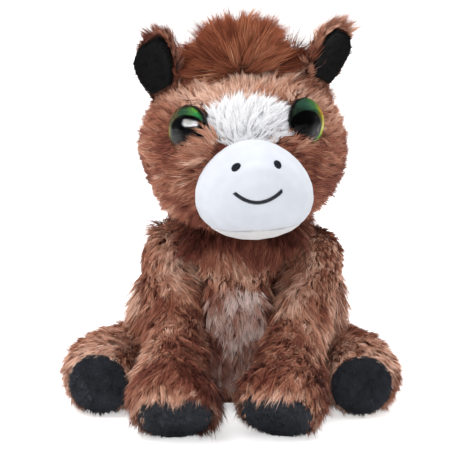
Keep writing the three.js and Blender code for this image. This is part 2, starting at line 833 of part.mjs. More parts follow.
// The leaf and lining of one ear, and the socket of its root in the head
function earParts(sign) {
  const leaf = earLeaf(sign, 0, 0, -earThickness / 2, earThickness / 2);
  const foot = earHalfWidth * earOutlineShares[0][1];
  const root = bar(earRootRadius, -foot, foot, stemSides).rotateY(Math.PI / 2);
  const liningBack = -earThickness / 2 - 2 * clearance;
  const lining = earLeaf(
    sign, earLiningInset, earRootRadius + earLiningInset, liningBack - earLiningThickness, liningBack,
  );
  const room = foot + swingClearance;
  const socket = bar(earRootRadius + swingClearance, -room, room, stemSides).rotateY(Math.PI / 2);
  return { skin: solidOf(leaf).add(solidOf(root)), lining: solidOf(lining), socket };
}

// The place of one ear's root fold, with +Z up the ear and -Y the way its lining looks
function earGroup(sign) {
  const group = new THREE.Group();
  const x = sign * (earSpacing / 2);
  const above = new THREE.Vector3(x, headMiddleY + earY, headMiddleHeight + 2 * headHalfHeight);
  const seat = pointOn(headOuter, above, new THREE.Vector3(0, 0, -1));
  group.position.set(seat.x, seat.y, seat.z - earSinkDepth);
  group.rotation.set(0, toRad(sign * earSlantDeg), toRad(sign * earOutwardDeg), 'YZX');
  group.updateMatrix();
  return group;
}

// The forelock on the crown, cut to the head
function forelockSolid(grow) {
  const tuft = new THREE.SphereGeometry(1, 18, 10);
  tuft.rotateX(Math.PI / 2);
  tuft.scale(forelockHalfWidth + grow, forelockHalfDepth + grow, forelockHalfHeight + grow);
  tuft.translate(0, headMiddleY + forelockY, headMiddleHeight + headHalfHeight + forelockLift);
  return solidOf(tuft);
}

// The mane: a ridge down the back of the head to the nape
function maneSolid() {
  const stations = 5;
  const points = Array.from({ length: stations }, (_, k) => {
    const angle = toRad(maneStartDeg + ((maneEndDeg - maneStartDeg) * k) / (stations - 1));
    return new THREE.Vector3(
      0,
      headMiddleY + (headHalfDepth + maneLift) * Math.cos(angle),
      headMiddleHeight + (headHalfHeight + maneLift) * Math.sin(angle),
    );
  });
  const path = new THREE.CatmullRomCurve3(points);
  const radiusAt = (t) => maneRadius * Math.sqrt(Math.max(1 - (t * 0.97) ** 4, 0));
  return solidOf(limbForm(path, radiusAt, new THREE.Vector3(1, 0, 0), maneRadius, coarseLimb));
}

// The embroidered nostrils and mouth, standing just off the muzzle's front
function faceStitches() {
  const front = muzzleBackY - muzzleLength - overrun;
  const skinOut = solidOf(offsetForm(muzzleOuter, clearance + threadHeight));
  const skinIn = solidOf(offsetForm(muzzleOuter, clearance));
  const film = skinOut.subtract(skinIn);
  const stitch = (shape, steps) => geometryOf(
    film.intersect(solidOf(prismAlongY(shape, front, muzzleBackY - muzzleLength / 2, steps))),
  );
  const nostril = (sign) => oval(
    sign * (nostrilSpacing / 2), muzzleMiddleHeight + nostrilRise, nostrilHalfWidth, nostrilHalfHeight,
  );
  const mouthRadius = (mouthHalfWidth ** 2 + mouthDrop ** 2) / (2 * mouthDrop);
  const mouthMiddle = muzzleMiddleHeight + mouthRise - mouthDrop + mouthRadius;
  const halfAngle = Math.asin(mouthHalfWidth / mouthRadius);
  const mouth = new THREE.Shape();
  const down = -Math.PI / 2;
  mouth.absarc(0, mouthMiddle, mouthRadius + mouthThreadRadius, down - halfAngle, down + halfAngle, false);
  mouth.absarc(0, mouthMiddle, mouthRadius - mouthThreadRadius, down + halfAngle, down - halfAngle, true);
  return {
    nostrilLeft: stitch(nostril(-1), 6),
    nostrilRight: stitch(nostril(1), 6),
    mouth: stitch(mouth, 7),
  };
}

// All pieces of the head; its group starts at the neck
function headPieces(group) {
  const home = group.matrix.clone().invert();
  const neck = solidOf(offsetForm(torsoOuter, 2 * clearance), home);
  const head = solidOf(headOuter);
  const muzzleHollow = solidOf(offsetForm(muzzleOuter, -smoothThickness));
  const eyes = Object.entries(sideSigns).map(([side, sign]) => ({
    side, placement: eyePlacement(sign), parts: eyeParts(),
  }));
  const ears = Object.entries(sideSigns).map(([side, sign]) => ({
    side, group: earGroup(sign), parts: earParts(sign),
  }));
  const skinRooms = eyes.flatMap(({ placement, parts }) => (
    parts.skinRoom.map((room) => solidOf(room, placement))
  ));
  const fillingRooms = eyes.flatMap(({ placement, parts }) => (
    parts.fillingRoom.map((room) => solidOf(room, placement))
  ));
  const earSockets = ears.map((ear) => solidOf(ear.parts.socket, ear.group.matrix));
  const shell = cut(
    head, solidOf(offsetForm(headCore, -plushThickness)), muzzleHollow, neck, skinRooms, earSockets,
  );
  const blazeWindow = (gap) => solidOf(prismAlongY(
    oval(0, blazeHeight, blazeHalfWidth - gap, blazeHalfHeight - gap),
    headMiddleY - headHalfDepth - overrun, headMiddleY, 8,
  ));
  const cap = cut(solidOf(muzzleOuter), muzzleHollow, solidOf(offsetForm(headOuter, clearance)));
  const chinBelow = (gap) => solidOf(boxBetween(
    new THREE.Vector3(-2 * muzzleHalfWidth, muzzleBackY - 2 * muzzleLength, -muzzleHalfHeight),
    new THREE.Vector3(2 * muzzleHalfWidth, 0, muzzleMiddleHeight - chinSeamDrop - gap),
  ));
  const stuffing = solidOf(offsetForm(headCore, -plushThickness - clearance))
    .add(solidOf(offsetForm(muzzleOuter, -smoothThickness - clearance)));
  const forelock = cut(forelockSolid(0), solidOf(offsetForm(headOuter, clearance)));
  const mane = cut(maneSolid(), solidOf(offsetForm(headOuter, clearance)), forelockSolid(clearance));
  const stitches = faceStitches();
  group.add(
    piece('head_skin', geometryOf(cut(shell, blazeWindow(0))), chestnut),
    piece('blaze_panel', geometryOf(shell.intersect(blazeWindow(clearance))), white),
    piece('muzzle_skin', geometryOf(cut(cap, chinBelow(0))), white),
    piece('chin_panel', geometryOf(cap.intersect(chinBelow(clearance))), white),
    piece('head_filling', geometryOf(cut(stuffing, neck, fillingRooms, earSockets)), fibre),
    piece('forelock', geometryOf(forelock), maneBrown),
    piece('mane', geometryOf(mane), maneBrown),
    piece('nostril_left', stitches.nostrilLeft, thread),
    piece('nostril_right', stitches.nostrilRight, thread),
    piece('mouth_stitch', stitches.mouth, thread),
  );
  for (const { side, placement, parts } of eyes) {
    const finishes = { dome: clearDome, iris: irisFoil, stem: blackPlastic, washer: washerPlastic };
    for (const [part, finish] of Object.entries(finishes)) {
      const mesh = piece(`eye_${part}_${side}`, parts[part], finish);
      placement.decompose(mesh.position, mesh.quaternion, mesh.scale);
      group.add(mesh);
    }
  }
  for (const ear of ears) {
    ear.group.add(
      piece(`ear_skin_${ear.side}`, geometryOf(ear.parts.skin), chestnut),
      piece(`ear_lining_${ear.side}`, geometryOf(ear.parts.lining), napBlack),
    );
    group.add(ear.group);
  }
}

// The toy: the torso carries the head, the limbs and the tail
const toy = new THREE.Group();
torsoPieces(toy);
for (const { name, limb, group } of limbs) {
  limbPieces(name, group, limb);
  toy.add(group);
}
toy.add(tailGroup);
const headGroup = new THREE.Group();
headGroup.position.set(neckShiftX, neckShiftY, neckHeight);
headGroup.rotation.set(0, toRad(-headRollDeg), toRad(headTurnDeg), 'ZYX');
headGroup.updateMatrix();
headPieces(headGroup);
toy.add(headGroup);

// The origin lies in the middle of the toy's footprint, on the floor
const bounds = new THREE.Box3().setFromObject(toy, true);
toy.position.set(-(bounds.min.x + bounds.max.x) / 2, -(bounds.min.y + bounds.max.y) / 2, -bounds.min.z);
const plushHorse = new THREE.Group();
plushHorse.add(toy);

export default plushHorse;
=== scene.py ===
"""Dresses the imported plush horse: backing cloth, pile, panels, eyes and stitches, in a plain studio."""
import logging
import math
from dataclasses import dataclass, field
from enum import Enum
from typing import Callable, Optional, Sequence

import bmesh
import bpy
import numpy as np
from mathutils import Matrix, Vector
from mathutils.bvhtree import BVHTree
from mathutils.kdtree import KDTree


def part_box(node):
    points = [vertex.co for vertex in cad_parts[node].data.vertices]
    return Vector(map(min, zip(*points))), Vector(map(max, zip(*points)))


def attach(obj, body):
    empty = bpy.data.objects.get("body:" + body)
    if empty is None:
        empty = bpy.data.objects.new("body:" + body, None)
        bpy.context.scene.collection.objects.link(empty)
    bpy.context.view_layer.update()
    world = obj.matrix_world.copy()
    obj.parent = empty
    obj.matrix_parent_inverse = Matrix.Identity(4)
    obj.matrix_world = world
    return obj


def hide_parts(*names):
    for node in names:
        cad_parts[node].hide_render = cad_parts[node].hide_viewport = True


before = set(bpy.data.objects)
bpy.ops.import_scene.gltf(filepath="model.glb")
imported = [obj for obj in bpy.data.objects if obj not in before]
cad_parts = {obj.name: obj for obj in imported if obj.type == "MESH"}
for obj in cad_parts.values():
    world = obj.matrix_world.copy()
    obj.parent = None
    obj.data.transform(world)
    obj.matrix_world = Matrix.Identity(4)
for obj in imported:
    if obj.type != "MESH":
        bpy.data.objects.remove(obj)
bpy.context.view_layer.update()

MM = 0.001
BAKE_MAP = "OFBake"

# Skins and their backing: lengths in millimetres, and a share of the room behind a skin
JOIN_DISTANCE = 0.01
RAY_START = 0.05
SKIN_REACH = 8.0
BACKING_INSET = 2.6
BACKING_LOOK = 12.0
BACKING_SHARE_OF_ROOM = 0.75
LINING_RISE = 0.15

# Strands: shares along and across a blade, its corners and map, and lengths in millimetres
STRAND_LIMIT = 65000
JOINTS = (0.0, 0.5, 1.0)
JOINT_WIDTHS = (1.0, 0.85)
BLADE_POINTS = 5
BLADE_CORNERS = np.array([0, 1, 3, 2, 2, 3, 4])
BLADE_CORNERS_TURNED = np.array([1, 0, 2, 3, 3, 2, 4])
BLADE_FACE_STARTS = np.array([0, 4])
BLADE_TWIST = 1.0
WIDTH_LEAST = 0.75
WIDTH_SPREAD = 0.5
LOCK_CURVE = 1.3
SWIRL_GAIN = 1.6
CURL_IN = 0.8
LEAST_FACTOR = 0.05
TONE_RANGE = (0.01, 0.985)
TONE_HALF_WIDTH = 0.003
MAP_FOOT = 0.01
MAP_HEIGHT = 0.98
ROOT_CLEARANCE = 0.5
LEAST_DEPTH = 0.2
FLOOR_GAP = 0.3
FLOOR_SPREAD = 0.5

# Lattice noise
NOISE_STEPS = np.array([73856093, 19349663, 83492791])
NOISE_SEED_STEP = 15485863
NOISE_MIX = 1274126177

Colour = tuple[float, float, float, float]
Stops = Sequence[tuple[float, str]]
Rows = np.ndarray
Field = Callable[[Rows, Rows], Rows]
Looks = dict[str, object]
Tree = bpy.types.NodeTree
Socket = bpy.types.NodeSocket
Material = bpy.types.Material
Piece = bpy.types.Object
Form = bmesh.types.BMesh

logging.basicConfig(level=logging.INFO, format="%(message)s")
log = logging.getLogger("plush_horse")


class Side(Enum):
    """A side of the toy, as the viewer sees it."""

    LEFT = -1
    RIGHT = 1

    @property
    def word(self) -> str:
        """The side as it stands in a node's name."""
        return self.name.lower()


# Colours and node helpers


def shade(code: str) -> Colour:
    """Turns a colour written as #rrggbb into linear light.

    Args:
        code: The colour as it looks on a screen.

    Returns:
        Red, green, blue and a full alpha.
    """
    parts = [int(code[k : k + 2], 16) / 255 for k in (1, 3, 5)]
    linear = [p / 12.92 if p <= 0.04045 else ((p + 0.055) / 1.055) ** 2.4 for p in parts]
    return (linear[0], linear[1], linear[2], 1.0)


def put(tree: Tree, kind: str, settings: Optional[dict] = None, **values: object) -> bpy.types.Node:
    """Adds a node, sets it and wires it.

    Args:
        tree: The tree that takes the node.
        kind: The node's type name.
        settings: Its own properties.
        **values: What feeds its inputs, as in wire_all.

    Returns:
        The new node.
    """
    node = tree.nodes.new(kind)
    for key, value in (settings or {}).items():
        setattr(node, key, value)
    wire_all(tree, node, **values)
    return node


def wire(tree: Tree, node: bpy.types.Node, name: object, value: object) -> None:
    """Feeds one input of a node.

    Args:
        tree: The tree that holds the node.
        node: The node.
        name: The input's name or number.
        value: A constant, or the socket that feeds it.
    """
    if isinstance(value, Socket):
        tree.links.new(value, node.inputs[name])
    else:
        node.inputs[name].default_value = value


def wire_all(tree: Tree, node: bpy.types.Node, **values: object) -> None:
    """Feeds inputs of a node.

    Args:
        tree: The tree that holds the node.
        node: The node.
        **values: The inputs by name, with _ for a space, each as a constant or as the socket that feeds it.
    """
    for key, value in values.items():
        wire(tree, node, key.replace("_", " "), value)


def calc(tree: Tree, operation: str, *values: object) -> Socket:
    """Adds a Math node.

    Args:
        tree: The tree that takes the node.
        operation: What it works out.
        *values: Its inputs in order.

    Returns:
        Its result.
    """
    node = put(tree, "ShaderNodeMath", {"operation": operation})
    for place, value in enumerate(values):
        wire(tree, node, place, value)
    return node.outputs[0]


def ramp(tree: Tree, factor: Socket, stops: Stops) -> Socket:
    """Adds a colour ramp.

    Args:
        tree: The tree that takes the node.
        factor: What it reads.
        stops: Place and colour of each stop, in order.

    Returns:
        The ramp's colour.
    """
    node = put(tree, "ShaderNodeValToRGB", Fac=factor)
    elements = node.color_ramp.elements
    for place, (position, code) in enumerate(stops):
        element = elements[place] if place < len(elements) else elements.new(position)
        element.position = position
        element.color = shade(code)
    return node.outputs["Color"]


def blend_colours(tree: Tree, factor: object, low: object, high: object, blend_type: str = "MIX") -> Socket:
    """Adds a colour Mix node.

    Args:
        tree: The tree that takes the node.
        factor: How far it goes from low to high.
        low: Colour or socket at 0.
        high: Colour or socket at 1.
        blend_type: How the two are put together.

    Returns:
        The mixed colour.
    """
    node = put(tree, "ShaderNodeMix", {"data_type": "RGBA", "blend_type": blend_type})
    for place, value in ((0, factor), (6, low), (7, high)):
        wire(tree, node, place, value)
    return node.outputs[2]


def map_range(
    tree: Tree, value: Socket, low: float, high: float, shape: str = "LINEAR", **ends: float
) -> Socket:
    """Adds a Map Range node.

    Args:
        tree: The tree that takes the node.
        value: What it reads.
        low: The value that gives the least result.
        high: The value that gives the most.
        shape: How it goes from one to the other.
        **ends: The results To_Min and To_Max, if not 0 and 1.

    Returns:
        Its result.
    """
    settings = {"interpolation_type": shape}
    node = put(tree, "ShaderNodeMapRange", settings, Value=value, From_Min=low, From_Max=high, **ends)
    return node.outputs[0]


def piece_place(tree: Tree) -> Socket:
    """The place on the piece, as the textures are laid."""
    return put(tree, "ShaderNodeTexCoord").outputs["Object"]


def map_place(tree: Tree) -> Socket:
    """The place on the piece's own flat map."""
    return put(tree, "ShaderNodeUVMap", {"uv_map": BAKE_MAP}).outputs[0]


def noise(tree: Tree, place: Socket, **values: object) -> Socket:
    """A Noise node laid by a place."""
    return put(tree, "ShaderNodeTexNoise", Vector=place, **values).outputs[0]


def bumps(tree: Tree, height: Socket, strength: float, depth: float) -> Socket:
    """Adds a Bump node.

    Args:
        tree: The tree that takes the node.
        height: How high the surface stands.
        strength: How much of it shows.
        depth: The height of the bumps in metres.

    Returns:
        The bumpy normal.
    """
    return put(tree, "ShaderNodeBump", Strength=strength, Distance=depth, Height=height).outputs[0]


def new_material(name: str) -> tuple[Material, Tree, bpy.types.Node]:
    """Starts a material.

    Args:
        name: Its name.

    Returns:
        The material, its tree and its Principled node.
    """
    material = bpy.data.materials.new(name)
    material.use_nodes = True
    tree = material.node_tree
    return material, tree, tree.nodes["Principled BSDF"]


def new_group(name: str, inputs: dict[str, float]) -> Tree:
    """Starts a shader node group that gives a height and a mask.

    Args:
        name: Its name.
        inputs: Each number that it takes, with its usual value.

    Returns:
        The group's tree, with one input and one output node.
    """
    group = bpy.data.node_groups.new(name, "ShaderNodeTree")
    for key, value in inputs.items():
        socket = group.interface.new_socket(name=key, in_out="INPUT", socket_type="NodeSocketFloat")
        socket.default_value = value
    for key in ("Height", "Mask"):
        group.interface.new_socket(name=key, in_out="OUTPUT", socket_type="NodeSocketFloat")
    group.nodes.new("NodeGroupInput")
    group.nodes.new("NodeGroupOutput")
    return group


class SharedEffects:
    """The shader groups that more than one finish uses, each built once."""

    def __init__(self) -> None:
        """Builds the groups."""
        self.fibre = self._fibre()
        self.knit = self._knit()

    @staticmethod
    def _fibre() -> Tree:
        """Builds a group for short fibres: a fine height and a soft mottled mask."""
        group = new_group("short_fibres", {"Fineness": 1400.0, "Mottle": 60.0})
        taken, given = group.nodes["Group Input"], group.nodes["Group Output"]
        place = piece_place(group)
        fine = noise(group, place, Scale=taken.outputs["Fineness"], Detail=3.0, Roughness=0.65)
        soft = noise(group, place, Scale=taken.outputs["Mottle"], Detail=4.0, Roughness=0.6)
        wire_all(group, given, Height=calc(group, "MULTIPLY_ADD", soft, 0.5, fine), Mask=soft)
        return group

    @staticmethod
    def _knit() -> Tree:
        """Builds a group for knitted backing cloth: crossing rows, and a mask along one set of them."""
        group = new_group("knit_backing", {"Rows": 900.0})
        taken, given = group.nodes["Group Input"], group.nodes["Group Output"]
        place = piece_place(group)
        rows = [
            put(
                group, "ShaderNodeTexWave", {"bands_direction": way}, Vector=place,
                Scale=taken.outputs["Rows"], Distortion=1.5, Detail=1.0,
            ).outputs["Fac"]
            for way in ("X", "Z")
        ]
        wire_all(group, given, Height=calc(group, "MULTIPLY", rows[0], rows[1]), Mask=rows[0])
        return group


# Finishes


@dataclass(frozen=True)
class Finish:
    """What a piece is covered with."""

    name: str

    def material(self, effects: SharedEffects) -> Material:
        """Makes the material.

        Args:
            effects: The shared groups.

        Returns:
            The material.
        """
        material, tree, surface = new_material(self.name)
        wire_all(tree, surface, **self.looks(tree, effects))
        return material

    def looks(self, tree: Tree, effects: SharedEffects) -> Looks:
        """What feeds the surface's inputs, by name, with _ for a space."""
        raise NotImplementedError


@dataclass(frozen=True)
class TwoToneFinish(Finish):
    """A finish that goes from one colour to another."""

    low: str
    high: str

    def between(self, tree: Tree, factor: Socket, start: float, end: float) -> Socket:
        """The colour: low up to start, high from end."""
        return ramp(tree, factor, ((start, self.low), (end, self.high)))


@dataclass(frozen=True)
class PileFinish(Finish):
    """Long pile, coloured by each strand's tone across the map and from root to tip up it."""

    roots: Stops
    tips: Stops
    rise: tuple[float, float] = (0.08, 0.7)
    roughness: float = 0.62
    sheen: float = 0.08

    def looks(self, tree: Tree, effects: SharedEffects) -> Looks:
        """Reads the tone and the height off the flat map."""
        split = put(tree, "ShaderNodeSeparateXYZ", Vector=map_place(tree))
        tone, along = split.outputs[0], split.outputs[1]
        climb = map_range(tree, along, *self.rise, shape="SMOOTHSTEP")
        root, tip = ramp(tree, tone, self.roots), ramp(tree, tone, self.tips)
        return {
            "Base_Color": blend_colours(tree, climb, root, tip),
            "Roughness": self.roughness,
            "Sheen_Weight": self.sheen,
            "Sheen_Roughness": 0.4,
            "Specular_IOR_Level": 0.2,
        }


@dataclass(frozen=True)
class ShortPlushFinish(TwoToneFinish):
    """Cloth with a short brushed face, such as the muzzle or the nap of a sole."""

    fineness: float = 1400.0
    mottle: float = 60.0
    roughness: float = 0.85
    sheen: float = 0.3
    bump: float = 0.25
    depth: float = 0.0003

    def looks(self, tree: Tree, effects: SharedEffects) -> Looks:
        """Mottles the cloth and roughens it with fibres."""
        fibres = put(
            tree, "ShaderNodeGroup", {"node_tree": effects.fibre}, Fineness=self.fineness, Mottle=self.mottle
        )
        return {
            "Base_Color": self.between(tree, fibres.outputs["Mask"], 0.3, 0.7),
            "Normal": bumps(tree, fibres.outputs["Height"], self.bump, self.depth),
            "Roughness": self.roughness,
            "Sheen_Weight": self.sheen,
            "Sheen_Roughness": 0.5,
            "Specular_IOR_Level": 0.2,
        }


@dataclass(frozen=True)
class KnitFinish(TwoToneFinish):
    """Knitted backing cloth under a pile, or the cloth of a bag."""

    rows: float = 900.0

    def looks(self, tree: Tree, effects: SharedEffects) -> Looks:
        """Knits the rows in colour and height."""
        knit = put(tree, "ShaderNodeGroup", {"node_tree": effects.knit}, Rows=self.rows)
        return {
            "Base_Color": self.between(tree, knit.outputs["Mask"], 0.2, 0.8),
            "Normal": bumps(tree, knit.outputs["Height"], 0.4, 0.0003),
            "Roughness": 0.9,
        }


@dataclass(frozen=True)
class ThreadFinish(TwoToneFinish):
    """Twisted embroidery thread, striped along each stitch."""

    def looks(self, tree: Tree, effects: SharedEffects) -> Looks:
        """Twists the thread in colour and height."""
        settings = {"bands_direction": "DIAGONAL"}
        wave = put(tree, "ShaderNodeTexWave", settings, Vector=piece_place(tree), Scale=700.0, Distortion=2.0)
        twist = wave.outputs["Fac"]
        return {
            "Base_Color": self.between(tree, twist, 0.1, 0.9),
            "Normal": bumps(tree, twist, 0.3, 0.0002),
            "Roughness": 0.5,
            "Sheen_Weight": 0.05,
        }


@dataclass(frozen=True)
class MouldedFinish(TwoToneFinish):
    """Moulded plastic with a faint grain."""

    roughness: float

    def looks(self, tree: Tree, effects: SharedEffects) -> Looks:
        """Grains the plastic in colour and height."""
        grain = noise(tree, piece_place(tree), Scale=900.0, Detail=2.0)
        return {
            "Base_Color": self.between(tree, grain, 0.3, 0.7),
            "Normal": bumps(tree, grain, 0.1, 0.0001),
            "Roughness": self.roughness,
        }


@dataclass(frozen=True)
class ClearDomeFinish(Finish):
    """The clear, polished shell of an eye."""

    def looks(self, tree: Tree, effects: SharedEffects) -> Looks:
        """Clears the shell and leaves a faint haze."""
        haze = noise(tree, piece_place(tree), Scale=300.0, Detail=1.0)
        return {
            "Roughness": map_range(tree, haze, 0.0, 1.0, To_Min=0.01, To_Max=0.03),
            "Base_Color": (1, 1, 1, 1),
            "Transmission_Weight": 1.0,
            "IOR": 1.45,
            "Alpha": 0.06,
        }


@dataclass(frozen=True)
class IrisFoilFinish(Finish):
    """Holographic foil round a black pupil, drawn on the eye's own flat map."""

    pupil: tuple[float, float]
    pupil_half: tuple[float, float]
    ring: Stops
    bright: float
    rim: float = 0.46
    ray_shade: str = "#1c2413"
    # The colour of the painted shadow round the foil's rim, where the fur round the eye shades it.
    rim_painted_shadow: str = "#120d0a"
    inner_shade: str = "#1c3a28"
    pupil_shade: str = "#020203"

    def looks(self, tree: Tree, effects: SharedEffects) -> Looks:
        """Lays the foil's ring, rays, a painted shadow round its rim, and the pupil over each other."""
        seat = map_place(tree)
        split = put(tree, "ShaderNodeSeparateXYZ", Vector=seat)
        across, up = (calc(tree, "SUBTRACT", split.outputs[axis], 0.5) for axis in (0, 1))
        foil = self._rays(tree, seat, ramp(tree, self._turn(tree, seat, across, up), self.ring))
        far = calc(tree, "SQRT", calc(tree, "MULTIPLY_ADD", across, across, calc(tree, "MULTIPLY", up, up)))
        # Painted shadow: the foil darkens in a ring at its rim, standing in for the shade of the fur round
        # the eye.
        edge = map_range(tree, far, self.rim * 0.87, self.rim * 0.98)
        foil = blend_colours(tree, edge, foil, shade(self.rim_painted_shadow))
        inner = map_range(
            tree, far, self.rim * self.bright, self.rim * (self.bright + 0.12), To_Min=0.8, To_Max=0.0
        )
        foil = blend_colours(tree, inner, foil, shade(self.inner_shade))
        outside = map_range(tree, self._from_pupil(tree, across, up), 0.96, 1.12)
        return {
            "Base_Color": blend_colours(tree, outside, shade(self.pupil_shade), foil),
            "Roughness": 0.35,
            "Specular_IOR_Level": 0.0,
            "Coat_IOR": 1.15,
            "Coat_Weight": 1.0,
            "Coat_Roughness": 0.01,
        }

    @staticmethod
    def _turn(tree: Tree, seat: Socket, across: Socket, up: Socket) -> Socket:
        """How far round the eye a place lies, from 0 to 1, broken up in flecks."""
        sweep = calc(tree, "DIVIDE", calc(tree, "ARCTAN2", up, across), 2 * math.pi)
        flecks = put(tree, "ShaderNodeTexVoronoi", Vector=seat, Scale=26.0)
        shift = calc(tree, "MULTIPLY_ADD", flecks.outputs["Distance"], 0.12, sweep)
        return calc(tree, "FRACT", calc(tree, "ADD", shift, 1.0))

    def _rays(self, tree: Tree, seat: Socket, foil: Socket) -> Socket:
        """The foil, darkened here and there."""
        share = calc(tree, "MULTIPLY", noise(tree, seat, Scale=14.0, Detail=4.0), 0.8)
        return blend_colours(tree, share, foil, shade(self.ray_shade), "MULTIPLY")

    def _from_pupil(self, tree: Tree, across: Socket, up: Socket) -> Socket:
        """How far a place lies from the pupil's middle, 1 on its edge."""
        parts = []
        for axis, middle_place, half in zip((across, up), self.pupil, self.pupil_half):
            share = calc(tree, "DIVIDE", calc(tree, "SUBTRACT", axis, middle_place), half)
            parts.append(calc(tree, "POWER", calc(tree, "ABSOLUTE", share), 2.0))
        return calc(tree, "ADD", *parts)


class Finishes:
    """Every finish of the toy, made once."""

    def __init__(self) -> None:
        """Makes the materials."""
        effects = SharedEffects()
        made = (
            PileFinish(
                "chestnut_pile",
                roots=((0.0, "#542f26"), (0.5, "#744639"), (1.0, "#9c6a55")),
                tips=(
                    (0.0, "#5c2d22"), (0.3, "#83473a"), (0.55, "#ac6d55"), (0.8, "#d29d83"),
                    (1.0, "#f2cbb5"),
                ),
            ),
            PileFinish(
                "belly_pile",
                roots=((0.0, "#3a211a"), (1.0, "#76503f")),
                tips=(
                    (0.0, "#4a2a22"), (0.35, "#7c4e40"), (0.6, "#a87060"), (0.82, "#d0a697"),
                    (1.0, "#f0dad2"),
                ),
                roughness=0.5,
            ),
            PileFinish(
                "mane_pile",
                roots=((0.0, "#3a190f"), (1.0, "#7a4229")),
                tips=((0.0, "#5c2b1b"), (0.4, "#87462f"), (0.7, "#ad6648"), (1.0, "#dba27c")),
                rise=(0.1, 0.9),
            ),
            PileFinish(
                "white_pile",
                roots=((0.0, "#f0f2f7"), (1.0, "#f8f9fc")),
                tips=((0.0, "#fcfcff"), (1.0, "#ffffff")),
                rise=(0.0, 0.5),
                sheen=0.25,
            ),
            PileFinish(
                "sole_nap_pile",
                roots=((0.0, "#0f1013"), (1.0, "#1b1d22")),
                tips=((0.0, "#1e2026"), (0.6, "#32363e"), (1.0, "#52565f")),
                rise=(0.0, 0.8),
                roughness=0.7,
            ),
            PileFinish(
                "ear_nap_pile",
                roots=((0.0, "#030304"), (1.0, "#060708")),
                tips=((0.0, "#08090b"), (0.6, "#0d0f12"), (1.0, "#1b1d22")),
                rise=(0.0, 0.8),
                roughness=0.9,
                sheen=0.0,
            ),
            ShortPlushFinish("white_short_plush", "#c6cad3", "#d0d4dc"),
            ShortPlushFinish("jaw_short_plush", "#cdcccd", "#d8d7d8"),
            ShortPlushFinish("sole_nap", "#191b20", "#2d3037", fineness=1100.0, bump=0.5, sheen=0.15),
            ShortPlushFinish("ear_nap", "#020203", "#050506", fineness=1100.0, bump=0.5, sheen=0.02),
            ShortPlushFinish("fibre_filling", "#e6e6e2", "#fbfbf8", fineness=500.0, bump=0.8, depth=0.001),
            KnitFinish("brown_backing", "#55301f", "#714433"),
            KnitFinish("white_backing", "#c9ccd2", "#e2e4e9"),
            KnitFinish("bag_cloth", "#c9c5bc", "#e3dfd7", rows=500.0),
            ThreadFinish("navy_thread", "#0b0d14", "#1e2432"),
            MouldedFinish("black_plastic", "#0c0d0f", "#15171a", 0.4),
            MouldedFinish("washer_plastic", "#dcdcd8", "#efefeb", 0.5),
            ClearDomeFinish("clear_dome"),
            IrisFoilFinish(
                "iris_foil_left", pupil=(0.12, -0.11), pupil_half=(0.4, 0.385), bright=0.84,
                ring=(
                    (0.0, "#12382a"), (0.14, "#1c6a48"), (0.2, "#2fb44e"), (0.25, "#7fcc3c"),
                    (0.29, "#33301a"), (0.37, "#1d1512"), (0.4, "#c8621c"), (0.43, "#3a1c12"),
                    (0.46, "#c05a22"), (0.5, "#5a2a20"), (0.54, "#b8603c"), (0.58, "#f0c81c"),
                    (0.63, "#fff04a"), (0.68, "#5a4a1c"), (1.0, "#12382a"),
                ),
            ),
            IrisFoilFinish(
                "iris_foil_right", pupil=(-0.19, -0.15), pupil_half=(0.345, 0.36), bright=0.4, rim=0.49,
                ring=(
                    (0.0, "#fff04a"), (0.1, "#ffe62c"), (0.15, "#f0a81e"), (0.19, "#9fae34"),
                    (0.26, "#4f8a4c"), (0.36, "#33584a"), (0.5, "#1f2a1c"), (0.8, "#2f5a24"),
                    (0.87, "#58c03c"), (0.93, "#c8dc28"), (1.0, "#fff04a"),
                ),
            ),
        )
        self._made = {finish.name: finish.material(effects) for finish in made}

    def __getitem__(self, name: str) -> Material:
        """The material of that name."""
        return self._made[name]


# Meshes


def lattice_noise(points: Rows, scale: float, seed: int) -> Rows:
    """Smooth noise on a lattice.

    Args:
        points: Places, one a row.
        scale: Size of the lattice's cells.
        seed: Picks the noise.

    Returns:
        One number a point, from -1 to 1.
    """
    cells = points / scale
    base = np.floor(cells).astype(np.int64)
    part = cells - base
    part = part * part * (3 - 2 * part)
    total = np.zeros(len(points))
    for corner in np.ndindex(2, 2, 2):
        key = (base + np.array(corner)) @ NOISE_STEPS + seed * NOISE_SEED_STEP
        key = (key ^ (key >> 13)) * NOISE_MIX
        key = key ^ (key >> 16)
        value = (key & 0xFFFF) / 32767.5 - 1
        share = np.prod(np.where(np.array(corner) == 1, part, 1 - part), axis=1)
        total += value * share
    return total


def unit(rows: Rows) -> Rows:
    """The rows, each made a length of one."""
    return rows / np.maximum(np.linalg.norm(rows, axis=1, keepdims=True), 1e-9)


def spun(rows: Rows, axes: Rows, angles: Rows) -> Rows:
    """Turns each row about its own axis.

    Args:
        rows: Directions.
        axes: Unit axes, one a row.
        angles: Radians, one a row.

    Returns:
        The turned directions.
    """
    cos, sin = np.cos(angles)[:, None], np.sin(angles)[:, None]
    along = np.sum(axes * rows, axis=1, keepdims=True)
    return rows * cos + np.cross(axes, rows) * sin + axes * along * (1 - cos)


def fade(values: Rows, low: float, high: float) -> Rows:
    """A smooth step of the values from 0 at low to 1 at high."""
    part = np.clip((values - low) / (high - low), 0, 1)
    return part * part * (3 - 2 * part)


def fade_mm(lengths: Rows, low: float, high: float) -> Rows:
    """The same step of lengths in metres, from low to high in millimetres."""
    return fade(lengths, low * MM, high * MM)


def middle(node: str) -> Rows:
    """The middle of a node's box."""
    low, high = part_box(node)
    return np.array((low + high) / 2)


def merged_copy(node: str) -> Form:
    """A node's mesh as a bmesh with its loose corners joined."""
    form = bmesh.new()
    form.from_mesh(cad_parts[node].data)
    bmesh.ops.remove_doubles(form, verts=form.verts, dist=JOIN_DISTANCE * MM)
    return form


